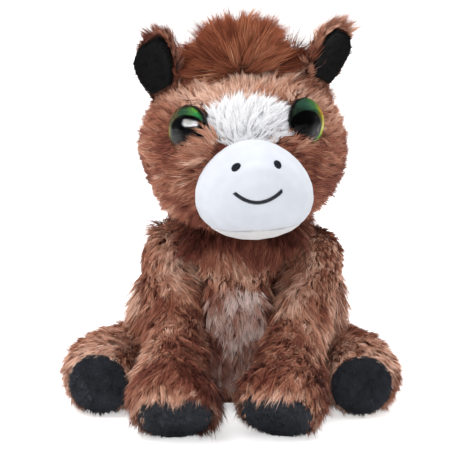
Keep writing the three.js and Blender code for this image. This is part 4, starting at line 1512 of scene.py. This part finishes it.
@dataclass
class Eye:
    """A safety eye: clear dome over a foil iris, on a stem with its washer."""

    finishes: Finishes
    side: Side
    radius: float = 13.5
    height: float = 7.5
    shell: float = 0.6
    rings: int = 14
    sides: int = 56
    foil_gap: tuple[float, float] = (0.7, 0.8)
    dome_foot: float = 0.5
    foil_foot: float = 0.4
    face_map: tuple[float, float] = (0.5, 0.485)
    back_map: tuple[float, float] = (0.03, 0.02)

    def __post_init__(self) -> None:
        """Finds the eye's middle and the way that it looks."""
        word = self.side.word
        iris = Vector(middle("eye_iris_" + word))
        washer = Vector(middle("eye_washer_" + word))
        self.out = (iris - washer).normalized()
        self.seat = iris
        across = Vector((0, 0, 1)).cross(self.out).normalized()
        up = self.out.cross(across)
        self.place = Matrix.Translation(iris) @ Matrix((across, up, self.out)).transposed().to_4x4()

    def _cap(self, radius: float, height: float, low: float) -> Form:
        """A shallow dome spun about the eye's axis, open below.

        Args:
            radius: At its rim, in millimetres.
            height: From rim to crown.
            low: Where the rim lies above the iris disc's middle.

        Returns:
            The dome.
        """
        form = bmesh.new()
        ball = (radius**2 + height**2) / (2 * height)
        spread = math.asin(min(1.0, radius / ball))
        if height > radius:
            spread = math.pi - spread
        row = []
        for step in range(self.rings + 1):
            angle = spread * (1 - step / self.rings)
            place = (ball * math.sin(angle), 0, low + ball * math.cos(angle) - (ball - height))
            row.append(form.verts.new([v * MM for v in place]))
        edges = [form.edges.new(pair) for pair in zip(row, row[1:])]
        bmesh.ops.spin(
            form, geom=row + edges, cent=(0, 0, 0), axis=(0, 0, 1), angle=2 * math.pi, steps=self.sides,
            use_merge=True,
        )
        bmesh.ops.remove_doubles(form, verts=form.verts, dist=JOIN_DISTANCE * MM)
        return form

    def dome(self) -> Piece:
        """The clear shell."""
        form = self._cap(self.radius, self.height, self.dome_foot)
        bmesh.ops.recalc_face_normals(form, faces=form.faces)
        bmesh.ops.solidify(form, geom=form.faces[:], thickness=self.shell * MM)
        form.transform(self.place)
        name = "eye_dome_shell_" + self.side.word
        return show(finished(form, name), name)

    def iris(self) -> Piece:
        """The printed foil just under the shell, closed behind."""
        form = self._cap(self.radius - self.foil_gap[0], self.height - self.foil_gap[1], self.foil_foot)
        rim = [edge for edge in form.edges if edge.is_boundary]
        bmesh.ops.edgeloop_fill(form, edges=rim)
        bmesh.ops.recalc_face_normals(form, faces=form.faces)
        flat = form.loops.layers.uv.new(BAKE_MAP)
        for face in form.faces:
            centre, spread = self.back_map if face.normal.z < -0.5 else self.face_map
            for loop in face.loops:
                loop[flat].uv = [centre + spread * off / (self.radius * MM) for off in loop.vert.co.xy]
        form.transform(self.place)
        name = "eye_iris_foil_" + self.side.word
        return show(finished(form, name), name)

    def build(self) -> list[Piece]:
        """Builds and dresses the eye.

        Returns:
            Its dome and its iris.
        """
        word = self.side.word
        dome, iris = self.dome(), self.iris()
        hand_over(dome, "head", self.finishes["clear_dome"], ["eye_dome_" + word])
        hand_over(iris, "head", self.finishes["iris_foil_" + word], ["eye_iris_" + word])
        for part, finish in (("eye_stem_", "black_plastic"), ("eye_washer_", "washer_plastic")):
            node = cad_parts[part + word]
            node.data.materials.clear()
            node.data.materials.append(self.finishes[finish])
        return [dome, iris]


@dataclass
class Ear:
    """A cupped ear: pile on its back and round its edge, nap lining in front."""

    finishes: Finishes
    side: Side
    seed: int
    short_pile: PileCut = PileCut(
        density=4.4, length=6.6, lean=58.0, swirl=14.0, depth=1.4, sag=0.02, tone=0.5
    )
    long_pile: PileCut = PileCut(
        density=4.4, length=10.5, lean=60.0, swirl=12.0, lock_spacing=2.8, depth=1.4, sag=0.02, tone=0.66,
        patch=0.2,
    )
    nap: PileCut = PileCut(
        density=2.2, length=2.4, lean=35.0, width=0.5, lock_spacing=2.5, lock_pull=0.3, depth=0.8,
        sag=0.0, bend=0.1, patch=0.25, tone=0.4,
    )

    def __post_init__(self) -> None:
        """Finds the ear's front and outer side, and how its pile is brushed and cut."""
        low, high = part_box("ear_skin_" + self.side.word)
        right = self.side is Side.RIGHT
        self.flow = steady(1.0, -0.2, 0.85) if right else steady(-0.75, -0.15, 0.7)
        self.pile = self.long_pile if right else self.short_pile
        self.tip_shift = (7.0, -4.0, 3.0) if right else (4.6, -1.5, 1.0)
        self.tip_cut = 0.42 if right else 0.0
        self.low, self.high = low.z, high.z
        self.front = middle("ear_lining_" + self.side.word) - middle("ear_skin_" + self.side.word)
        self.front /= np.linalg.norm(self.front)
        self.middle = middle("ear_skin_" + self.side.word)
        self.across = np.array([-self.front[1], self.front[0], 0.0]) * self.side.value
        self.across /= np.linalg.norm(self.across)

    def trim(self, places: Rows, normals: Rows) -> Rows:
        """Shorter pile on the front edge, on the outer side and at the right ear's tip."""
        facing = fade(normals @ self.front, -0.5, 0.35)
        high = fade(places[:, 2], self.low + 0.6 * (self.high - self.low), self.high)
        outer = fade_mm((places - self.middle) @ self.across, 3, 10)
        tip = self.tip_cut * fade(places[:, 2], self.low + 0.75 * (self.high - self.low), self.high)
        return (1.0 - facing * (0.62 - 0.2 * high)) * (1 - 0.7 * outer * (1 - 0.7 * high)) * (1 - tip)

    def leant(self, piece: Piece) -> Piece:
        """Leans a piece of the ear towards the viewer's right and down, most at its tip.

        Args:
            piece: The piece.

        Returns:
            The same piece.
        """
        places = np.empty(len(piece.data.vertices) * 3, np.float32)
        piece.data.vertices.foreach_get("co", places)
        places = places.reshape(-1, 3)
        across, down, power = self.tip_shift
        share = np.clip((places[:, 2] - self.low) / (self.high - self.low), 0, 1.15) ** power
        places[:, 0] += across * MM * share
        places[:, 2] += down * MM * share
        piece.data.vertices.foreach_set("co", places.ravel())
        piece.data.update()
        return piece

    def build(self) -> None:
        """Builds and dresses the ear."""
        word = self.side.word
        body, skin, lining = "ear_" + word, "ear_skin_" + word, "ear_lining_" + word
        core = self.leant(soft_panel(skin, "ear_core_" + word, voxel=0.9, passes=4, rise=-1.7))
        hand_over(core, body, self.finishes["brown_backing"], [skin])
        sheet = OuterSheet(skin, [lining], 0.8)
        fur = Pile("ear_pile_" + word, sheet, self.pile, self.flow, self.seed, self.trim)
        for piece in fur.grow():
            hand_over(self.leant(piece), body, self.finishes["chestnut_pile"])
        cloth = self.leant(soft_panel(lining, lining + "_cloth", voxel=0.8, passes=4, rise=0.75))
        hand_over(cloth, body, self.finishes["ear_nap"], [lining])
        fur = Pile("ear_nap_" + word, OuterSheet(lining, [skin], 1.2), self.nap, self.flow, self.seed + 3)
        for piece in fur.grow():
            hand_over(self.leant(piece), body, self.finishes["ear_nap_pile"])


@dataclass
class Muzzle:
    """The smooth muzzle with its jaw panel and embroidery."""

    finishes: Finishes
    thread: float = 0.5
    pitch: float = 0.62
    smile: float = 0.9
    tilt: float = 0.4
    dive: float = 0.4
    stitch_steps: int = 5
    oval: tuple[float, float] = (0.95, 1.25)
    slant: float = 0.12
    nostril_rise: float = 0.75
    mouth_span: tuple[float, float] = (-0.97, 0.9)
    mouth_points: int = 41
    mouth_reach: tuple[float, float] = (1.15, 0.65)
    mouth_rise: float = 0.8

    def _stitch(self, form: Form, start: Vector, end: Vector, out: Vector, rise: float) -> None:
        """Adds one stitch: a thread that dives into the cloth at both ends.

        Args:
            form: The bmesh that takes it.
            start: One end, on the cloth.
            end: The other.
            out: The way out of the cloth.
            rise: How high its middle stands, in metres.
        """
        way = (end - start).normalized()
        side = way.cross(out).normalized()
        up = side.cross(way)
        turn = Matrix((side, up, way)).transposed().to_4x4()
        ring = bmesh.ops.create_circle(form, segments=7, radius=self.thread * MM * 0.5)
        first = ring["verts"]
        centre = start - out * rise * self.dive
        bmesh.ops.transform(form, matrix=Matrix.Translation(centre) @ turn, verts=first)
        loop = [edge for edge in form.edges if edge.verts[0] in first and edge.verts[1] in first]
        for step in range(1, self.stitch_steps + 1):
            share = step / self.stitch_steps
            lift = rise * (4 * share * (1 - share)) ** 0.6 - rise * self.dive
            place = start.lerp(end, share) + out * lift
            grown = bmesh.ops.extrude_edge_only(form, edges=loop)["geom"]
            verts = [g for g in grown if isinstance(g, bmesh.types.BMVert)]
            loop = [g for g in grown if isinstance(g, bmesh.types.BMEdge)]
            bmesh.ops.translate(form, verts=verts, vec=place - centre)
            girth = 1.0 if step < self.stitch_steps else 0.6
            bmesh.ops.scale(form, vec=(girth,) * 3, verts=verts, space=Matrix.Translation(-place))
            centre = place

    def _thread_piece(self, form: Form, name: str, node: str) -> None:
        """Closes, dresses and hands over a row of stitches."""
        rims = [edge for edge in form.edges if edge.is_boundary]
        bmesh.ops.holes_fill(form, edges=rims, sides=8)
        bmesh.ops.recalc_face_normals(form, faces=form.faces)
        piece = show(finished(form, name), name)
        hand_over(piece, "head", self.finishes["navy_thread"], [node])

    def nostril(self, side: Side) -> None:
        """A satin-stitched oval."""
        node = "nostril_" + side.word
        low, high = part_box(node)
        place, out, _, _ = self.surface.find_nearest((low + high) / 2)
        across = Vector((0, 0, 1)).cross(out).normalized()
        up = out.cross(across)
        half_x, half_z = (high.x - low.x) / 2 * self.oval[0], (high.z - low.z) / 2 * self.oval[1]
        form = bmesh.new()
        count = max(5, round(2 * half_x / (self.pitch * 0.8 * MM)))
        for step in range(count):
            x = half_x * (2 * (step + 0.5) / count - 1)
            reach = half_z * math.sqrt(max(0.05, 1 - (x / half_x) ** 2))
            base = place + across * x
            rise = self.nostril_rise * MM * math.sqrt(max(0.2, 1 - (x / half_x) ** 2))
            slant = across * self.slant * reach
            ends = [self._on_cloth(base + up * reach * s + slant * s) for s in (-1, 1)]
            self._stitch(form, ends[0], ends[1], out, rise)
        self._thread_piece(form, node + "_satin", node)

    def _on_cloth(self, place: Vector) -> Vector:
        """The nearest place on the muzzle's cloth."""
        return self.surface.find_nearest(place)[0]

    def mouth(self) -> None:
        """A satin-stitched smile, its short stitches set across the line."""
        form_in = merged_copy("mouth_stitch")
        places = np.array([v.co for v in form_in.verts])
        form_in.free()
        low, high = places[:, 0].min(), places[:, 0].max()
        across = (2 * places[:, 0] - low - high) / (high - low)
        curve = [np.polyfit(across, places[:, axis], 4) for axis in (1, 2)]
        line = []
        for u in np.linspace(*self.mouth_span, self.mouth_points):
            y, z = (float(np.polyval(part, u)) for part in curve)
            drop = self.smile * (1 - u * u) + self.tilt * (1 - u)
            line.append(Vector(((low + high + u * (high - low)) / 2, y, z - drop * MM)))
        lengths = np.cumsum([0.0] + [(b - a).length for a, b in zip(line, line[1:])])
        count = int(lengths[-1] / (self.pitch * MM))
        form = bmesh.new()
        for step in range(count + 1):
            at = lengths[-1] * step / count
            part = min(int(np.searchsorted(lengths, at, side="right")) - 1, len(line) - 2)
            share = (at - lengths[part]) / (lengths[part + 1] - lengths[part])
            spot = line[part].lerp(line[part + 1], share)
            place, out, _, _ = self.surface.find_nearest(spot)
            along = (line[part + 1] - line[part]).normalized()
            cross = out.cross(along).normalized()
            reach = (cross * self.mouth_reach[0] + along * self.mouth_reach[1]) * MM
            self._stitch(form, place - reach, place + reach, out, self.mouth_rise * MM)
        self._thread_piece(form, "mouth_satin", "mouth_stitch")

    def build(self) -> None:
        """Builds and dresses the muzzle."""
        muzzle = soft_panel("muzzle_skin", "muzzle_skin_cloth", voxel=1.0, passes=12, rise=0.4)
        hand_over(muzzle, "head", self.finishes["white_short_plush"], ["muzzle_skin"])
        jaw = soft_panel("chin_panel", "chin_panel_cloth", voxel=1.0, passes=8, rise=0.6)
        hand_over(jaw, "head", self.finishes["jaw_short_plush"], ["chin_panel"])
        face = bmesh.new()
        face.from_mesh(muzzle.data)
        self.surface = BVHTree.FromBMesh(face)
        face.free()
        for side in Side:
            self.nostril(side)
        self.mouth()


@dataclass
class Head:
    """The head: furred skin, white blaze, forelock, mane, and what sits on them."""

    finishes: Finishes
    body: str = "head"
    pile: PileCut = PileCut(
        length=6.8, lean=45.0, swirl=30.0, swirl_scale=16.0, lock_spacing=2.2, sag=0.03, tone=0.5, patch=0.34
    )
    blaze: PileCut = PileCut(
        density=5.5, length=7.8, lean=42.0, swirl=24.0, lock_spacing=2.0, width=0.44, patch=0.2, tone=0.5,
        sag=0.0, smooth=0.92,
    )
    tuft: PileCut = PileCut(
        density=8.0, length=12.0, spread=0.14, lean=20.0, swirl=4.0, lock_spacing=3.0, lock_pull=0.3,
        width=0.7, bend=0.3, sag=0.0, depth=1.2, tone=0.5, patch=0.2,
    )
    blaze_half: tuple[float, float] = (21.5, 9.0)
    blaze_shoulder: float = 175.0
    forelock: PileCut = PileCut(
        density=5.2, length=14.5, spread=0.25, lean=60.0, swirl=16.0, lock_spacing=3.2, lock_pull=0.5,
        width=0.5, depth=6.5, sag=0.02, bend=0.16, patch=0.28, patch_scale=12.0, tone=0.47,
    )
    mane: PileCut = PileCut(
        density=4.4, length=17.0, lean=60.0, swirl=16.0, lock_spacing=4.6, lock_pull=0.66,
        width=0.5, depth=3.5, sag=0.2, patch=0.16, tone=0.46,
    )
    eye_bare: float = 12.6
    eye_depth: float = 16.0
    arch_edge: float = 0.97

    def __post_init__(self) -> None:
        """Finds the places that the brushing is led from."""
        self.muzzle_middle = middle("muzzle_skin")
        self.middle = middle("head_skin")
        eyes = [Eye(self.finishes, side) for side in Side]
        self.eyes = [(np.array(eye.seat), np.array(eye.out)) for eye in eyes]
        self.muzzle = tree_of(["muzzle_skin", "chin_panel"])
        blaze_low, blaze_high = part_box("blaze_panel")
        self.blaze_root = np.array([(blaze_low.x + blaze_high.x) / 2, blaze_low.y, blaze_low.z - 2 * MM])
        self.blaze_low = blaze_low.z
        low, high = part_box("forelock")
        self.crest = np.array([(low.x + high.x) / 2, low.y + 8 * MM, low.z + 3 * MM])

    def flow(self, places: Rows, normals: Rows) -> Rows:
        """Brushed out from the muzzle, back round the cheeks and down the back."""
        out = places - self.muzzle_middle
        out[:, 1] = 0
        out = unit(out)
        behind = fade(places[:, 1], self.middle[1] - 15 * MM, self.middle[1] + 25 * MM)[:, None]
        front = out + np.array([0.0, 0.45, -0.1])
        back = np.tile([0.0, 0.3, -1.0], (len(places), 1))
        way = front * (1 - behind) + back * behind
        for seat, _ in self.eyes:
            off = places - seat
            near = 1 - fade_mm(np.linalg.norm(off, axis=1), 13, 22)
            near = (near * (1 - self._nose_side(off, seat)))[:, None]
            way = way * (1 - near) + unit(off) * near * 1.2
        return way

    def stand(self, places: Rows, normals: Rows) -> Rows:
        """Pile that stands up along the muzzle's seam and on the nose side of the eyes."""
        away = np.array([self.muzzle.find_nearest(place)[3] for place in places])
        share = 0.3 + 0.7 * fade_mm(away, 2, 9)
        for seat, out in self.eyes:
            off, across, _ = self._round_eye(places, seat, out)
            near = (1 - fade_mm(across, 14, 22)) * fade(unit(off)[:, 0] * -np.sign(seat[0]), 0.1, 0.6)
            share = share * (1 - 0.45 * near)
        return share

    @staticmethod
    def _round_eye(
        places: Rows, seat: Rows, out: Rows
    ) -> tuple[Rows, Rows, Rows]:
        """Measures places against an eye.

        Args:
            places: Places on a skin.
            seat: The eye's middle.
            out: The way that it looks.

        Returns:
            The offsets from its middle, how far each place lies from its axis, and how far along it.
        """
        off = places - seat
        along = off @ out
        return off, np.linalg.norm(off - out * along[:, None], axis=1), np.abs(along)

    def _nose_side(self, off: Rows, seat: Rows) -> Rows:
        """How far places round an eye lie on its side towards the muzzle, from 0 to 1."""
        to_muzzle = self.muzzle_middle - seat
        return fade(unit(off) @ (to_muzzle / np.linalg.norm(to_muzzle)), 0.45, 0.8)

    def trim(self, places: Rows, normals: Rows) -> Rows:
        """Cuts the head's pile round the eyes, on the crown and on the left cheek.

        Args:
            places: Roots on the skin.
            normals: Outward normals there.

        Returns:
            A factor on the pile's length: 0 under the eyes, small round them but for their nose side.
        """
        factor = np.ones(len(places))
        for seat, out in self.eyes:
            off, across, along = self._round_eye(places, seat, out)
            close = along < self.eye_depth * MM
            nose = self._nose_side(off, seat)
            ring = np.maximum(fade_mm(across, self.eye_bare, 20), nose * 0.8)
            factor = np.where(close, np.minimum(factor, 0.4 + 0.6 * ring), factor)
            factor = np.where(close, factor * (1 + 0.75 * nose * (1 - fade_mm(across, 16, 24))), factor)
            factor = np.where(close & (across < self.eye_bare * MM), 0.0, factor)
        ridge = 1 - fade_mm(np.abs(places[:, 1] - self.middle[1]), 20, 30)
        crown = fade_mm(places[:, 2], 184, 192) * ridge
        cheek = fade_mm(-places[:, 0], 36, 46) * (1 - fade_mm(places[:, 2], 140, 152))
        return factor * (1 + 0.5 * crown) * (1 - 0.45 * cheek)

    def _arch(self, places: Rows) -> Rows:
        """How far places on the blaze panel lie from its middle, 1 on the edge of the white arch."""
        half, rise = self.blaze_half
        off = (places[:, 0] - self.blaze_root[0]) / MM
        low = 1 - fade(places[:, 2], self.blaze_low + 1 * MM, self.blaze_low + 10 * MM)
        wide = np.where(off < 0, half - 6.5 * low, half + 3.5)
        up = np.maximum(places[:, 2] / MM - self.blaze_shoulder, 0) / rise
        return np.hypot(off / wide, up)

    def blaze_trim(self, places: Rows, normals: Rows) -> Rows:
        """White pile inside the arch alone, shorter towards its edge, and none under the eyes."""
        arch = self._arch(places)
        factor = np.where(arch < 1, 1 - 0.35 * fade(arch, 0.65, 1.0), 0.0)
        for seat, out in self.eyes:
            _, across, along = self._round_eye(places, seat, out)
            under = (along < self.eye_depth * MM) & (across < self.eye_bare * MM)
            factor = np.where(under, 0.0, factor)
        return factor

    def brow_trim(self, places: Rows, normals: Rows) -> Rows:
        """Chestnut pile over the blaze panel's corners, outside the arch."""
        return np.where(self._arch(places) >= self.arch_edge, self.trim(places, normals), 0.0)

    def blaze_flow(self, places: Rows, normals: Rows) -> Rows:
        """Fanned upwards and out over the eyes' inner edges."""
        out = places - self.blaze_root
        out[:, 0] *= 1.5
        out[:, 1] = 0
        return unit(out)

    def tuft_trim(self, places: Rows, normals: Rows) -> Rows:
        """Pile on the side towards the muzzle of each eye alone, longer on the left."""
        factor = np.zeros(len(places))
        for seat, out in self.eyes:
            off, across, along = self._round_eye(places, seat, out)
            beside = (along < self.eye_depth * MM) & (across > self.eye_bare * MM) & (across < 21 * MM)
            way = unit(off)
            beside &= (way[:, 0] * -np.sign(seat[0]) > 0.3) & (way[:, 2] < 0.1) & (way[:, 2] > -0.93)
            factor = np.where(beside, 1.0 if seat[0] < 0 else 0.6, factor)
        return np.where(self._arch(places) >= self.arch_edge, factor, 0.0)

    def bias(self, places: Rows, normals: Rows) -> Rows:
        """Lighter pile over the forehead and beside the nose, darker pile on the right cheek."""
        front = 1 - fade(places[:, 1], self.middle[1] - 22 * MM, self.middle[1])
        brow = fade_mm(places[:, 2], 174, 186) * front
        tuft = np.zeros(len(places))
        for seat, _ in self.eyes:
            off = places - seat
            near = 1 - fade_mm(np.linalg.norm(off, axis=1), 15, 26)
            tuft = np.maximum(tuft, near * self._nose_side(off, seat))
        cheek = fade_mm(places[:, 0], 30, 42) * (1 - fade_mm(places[:, 2], 160, 172))
        return 0.5 * brow + 0.22 * tuft - 0.1 * cheek

    def crest_flow(self, places: Rows, normals: Rows) -> Rows:
        """Fanned out from the front of the crest, and swept sideways and up at its ends."""
        out = places - self.crest
        end = fade_mm(np.abs(out[:, 0]), 16, 27)
        out[:, 1] = np.maximum(out[:, 1], 0) * 0.5
        climb = np.where(out[:, 0] > 0, 0.3, 0.15) * np.abs(out[:, 0])
        out[:, 2] = np.maximum(out[:, 2] + 2 * MM, 0) * (1 - end) + climb * end
        return unit(out)

    def crest_trim(self, places: Rows, normals: Rows) -> Rows:
        """Longer strands in the middle of the crest and low at its ends, shorter ones behind."""
        off = places[:, 0] - self.crest[0]
        crown = 1 - fade_mm(np.abs(off), 10, 22)
        low = 1 - fade(places[:, 2], self.crest[2] + 3 * MM, self.crest[2] + 10 * MM)
        right = (0.7 * low - 0.5 * (1 - low)) * fade_mm(off, 14, 24)
        back = fade(normals[:, 1], 0.0, 0.5) * (fade_mm(off, 4, 12) + fade_mm(-off, 8, 16))
        return (0.86 + 0.14 * crown + right + 0.35 * fade_mm(-off, 20, 30)) * (1 - 0.5 * back)

    def crest_stand(self, places: Rows, normals: Rows) -> Rows:
        """Strands that lie flatter at the ends of the crest and stand up in its middle."""
        return 0.82 + 0.5 * fade_mm(np.abs(places[:, 0] - self.crest[0]), 12, 26)

    def mane_flow(self, places: Rows, normals: Rows) -> Rows:
        """Parted in the middle and brushed down."""
        off = (places[:, 0] - middle("mane")[0]) / (8 * MM)
        way = np.tile([0.0, 0.25, -0.8], (len(places), 1))
        way[:, 0] = np.clip(off, -1, 1)
        return way

    def build(self) -> None:
        """Builds and dresses the head's pieces."""
        brown, chestnut = self.finishes["brown_backing"], self.finishes["chestnut_pile"]
        skin = OuterSheet("head_skin", ["head_filling"], reach=SKIN_REACH)
        backing = sew_backing(skin, "head_backing", self.body, brown)
        fur = Pile("head_pile", skin, self.pile, self.flow, 41, self.trim, self.bias, self.stand)
        plant(fur, self.body, chestnut)
        patch = OuterSheet("blaze_panel", ["head_filling"], reach=SKIN_REACH)
        for name, sheet, seed in (("cheek_tuft_pile", skin, 46), ("nose_tuft_pile", patch, 48)):
            fur = Pile(name, sheet, self.tuft, self.flow, seed, self.tuft_trim, self.bias)
            plant(fur, self.body, chestnut)
        panel = sew_backing(
            patch, "blaze_backing", self.body, self.finishes["white_backing"], lined=False
        )
        fur = Pile("blaze_pile", patch, self.blaze, self.blaze_flow, 43, self.blaze_trim, None, self.stand)
        plant(fur, self.body, self.finishes["white_pile"])
        fur = Pile("brow_pile", patch, self.pile, self.flow, 45, self.brow_trim, self.bias, self.stand)
        plant(fur, self.body, chestnut)
        for node, cut, flow, trim, stand, seed, inset in (
            ("forelock", self.forelock, self.crest_flow, self.crest_trim, self.crest_stand, 47, 6.0),
            ("mane", self.mane, self.mane_flow, None, None, 53, 3.5),
        ):
            core = soft_panel(node, node + "_core", voxel=1.5, passes=4, rise=-inset)
            hand_over(core, self.body, brown, [node])
            sheet = BareSheet(node, ["head_skin", "blaze_panel"], reach=1.5)
            fur = Pile(node + "_pile", sheet, cut, flow, seed, trim, None, stand)
            plant(fur, self.body, self.finishes["mane_pile"])
        stuffing("head_filling", self.body, self.finishes)


@dataclass
class Studio:
    """The camera at the photograph's angle, a pale floor and soft lights."""

    distance: float = 1.1
    elevation: float = 11.0
    target: tuple[float, float, float] = (0.00203, -0.00243, 0.103)
    lens: float = 148.4
    shift: tuple[float, float] = (-0.0109, 0.0043)
    world_strength: float = 0.62
    mirror_dimming: float = 0.75
    floor_half: float = 9.0
    floor_glow: float = 0.6
    aim: tuple[float, float, float] = (0, 0, 0.1)

    def camera(self) -> None:
        """Sets up the camera."""
        data = bpy.data.cameras.new("camera")
        camera = bpy.data.objects.new("camera", data)
        bpy.context.scene.collection.objects.link(camera)
        angle = math.radians(self.elevation)
        back = Vector((0, -math.cos(angle), math.sin(angle)))
        camera.location = Vector(self.target) + back * self.distance
        camera.rotation_euler = (-back).to_track_quat("-Z", "Y").to_euler()
        data.lens = self.lens
        data.shift_x, data.shift_y = self.shift
        bpy.context.scene.camera = camera

    def floor(self) -> None:
        """Lays the floor."""
        form = bmesh.new()
        bmesh.ops.create_grid(form, x_segments=1, y_segments=1, size=self.floor_half)
        mesh = bpy.data.meshes.new("studio_floor")
        form.to_mesh(mesh)
        form.free()
        floor = show(mesh, "studio_floor")
        material, tree, surface = new_material("studio_floor")
        seen = put(tree, "ShaderNodeLightPath").outputs["Is Camera Ray"]
        wire_all(
            tree, surface, Base_Color=(0.97, 0.97, 0.97, 1), Roughness=0.9, Specular_IOR_Level=0.0,
            Emission_Color=(1, 1, 1, 1), Emission_Strength=calc(tree, "MULTIPLY", seen, self.floor_glow),
        )
        mesh.materials.append(material)

    def light(self, name: str, place: Sequence[float], size: tuple[float, float], power: float) -> Piece:
        """Hangs one soft light that looks at the toy.

        Args:
            name: The light's name.
            place: Where it hangs, in metres.
            size: Its width and height.
            power: In watts.

        Returns:
            The light.
        """
        data = bpy.data.lights.new(name, "AREA")
        data.shape = "RECTANGLE"
        data.size, data.size_y = size
        data.energy = power
        lamp = bpy.data.objects.new(name, data)
        bpy.context.scene.collection.objects.link(lamp)
        lamp.location = place
        lamp.visible_glossy = False
        way = Vector(self.aim) - Vector(place)
        lamp.rotation_euler = way.to_track_quat("-Z", "Y").to_euler()
        return lamp

    def build(self) -> None:
        """Sets up the studio."""
        self.camera()
        self.floor()
        for name, place, size, power in (
            ("softbox_front", (-0.35, -1.0, 1.3), (0.9, 0.5), 8),
            ("softbox_left", (-1.3, -0.3, 0.9), (0.8, 1.0), 5),
            ("softbox_right", (1.3, -0.3, 0.9), (0.8, 1.0), 3.5),
            ("softbox_top", (0.0, 0.3, 1.6), (1.4, 1.0), 16),
        ):
            self.light(name, place, size, power)
        self.glint = self.light("softbox_glint", (-0.5, -1.05, 0.8), (1.7, 0.5), 230)
        self.glint.visible_diffuse = False
        self.glint.visible_glossy = True
        world = bpy.data.worlds.new("studio_white")
        bpy.context.scene.world = world
        world.use_nodes = True
        tree = world.node_tree
        sky = tree.nodes["Background"]
        sky.inputs["Color"].default_value = (1, 1, 1, 1)
        path = put(tree, "ShaderNodeLightPath")
        seen, mirror = path.outputs["Is Camera Ray"], path.outputs["Is Glossy Ray"]
        dimmed = calc(tree, "MULTIPLY_ADD", seen, 1.0 - self.world_strength, self.world_strength)
        mirrored = calc(tree, "MULTIPLY_ADD", mirror, -self.mirror_dimming, 1.0)
        wire(tree, sky, "Strength", calc(tree, "MULTIPLY", dimmed, mirrored))
        bpy.context.scene.view_settings.view_transform = "Standard"

    def aim_glint(self, pieces: Sequence[Piece]) -> None:
        """Lets the glint's softbox light some pieces alone.

        Args:
            pieces: The pieces that mirror it.
        """
        lit = bpy.data.collections.new("glint_lit")
        for piece in pieces:
            lit.objects.link(piece)
        self.glint.light_linking.receiver_collection = lit


def main() -> None:
    """Builds the toy and its studio, and aims the glint at the left eye."""
    finishes = Finishes()
    studio = Studio()
    studio.build()
    Torso(finishes).build()
    for seed, name in enumerate(("front_leg_left", "front_leg_right", "hind_leg_left", "hind_leg_right")):
        Leg(finishes, name, 21 + seed * 2).build()
    Tail(finishes).build()
    Head(finishes).build()
    Muzzle(finishes).build()
    shiny = []
    for side in Side:
        pieces = Eye(finishes, side).build()
        shiny += pieces if side is Side.LEFT else []
        Ear(finishes, side, 61 + side.value).build()
    studio.aim_glint(shiny)


if __name__ == "__main__":
    main()
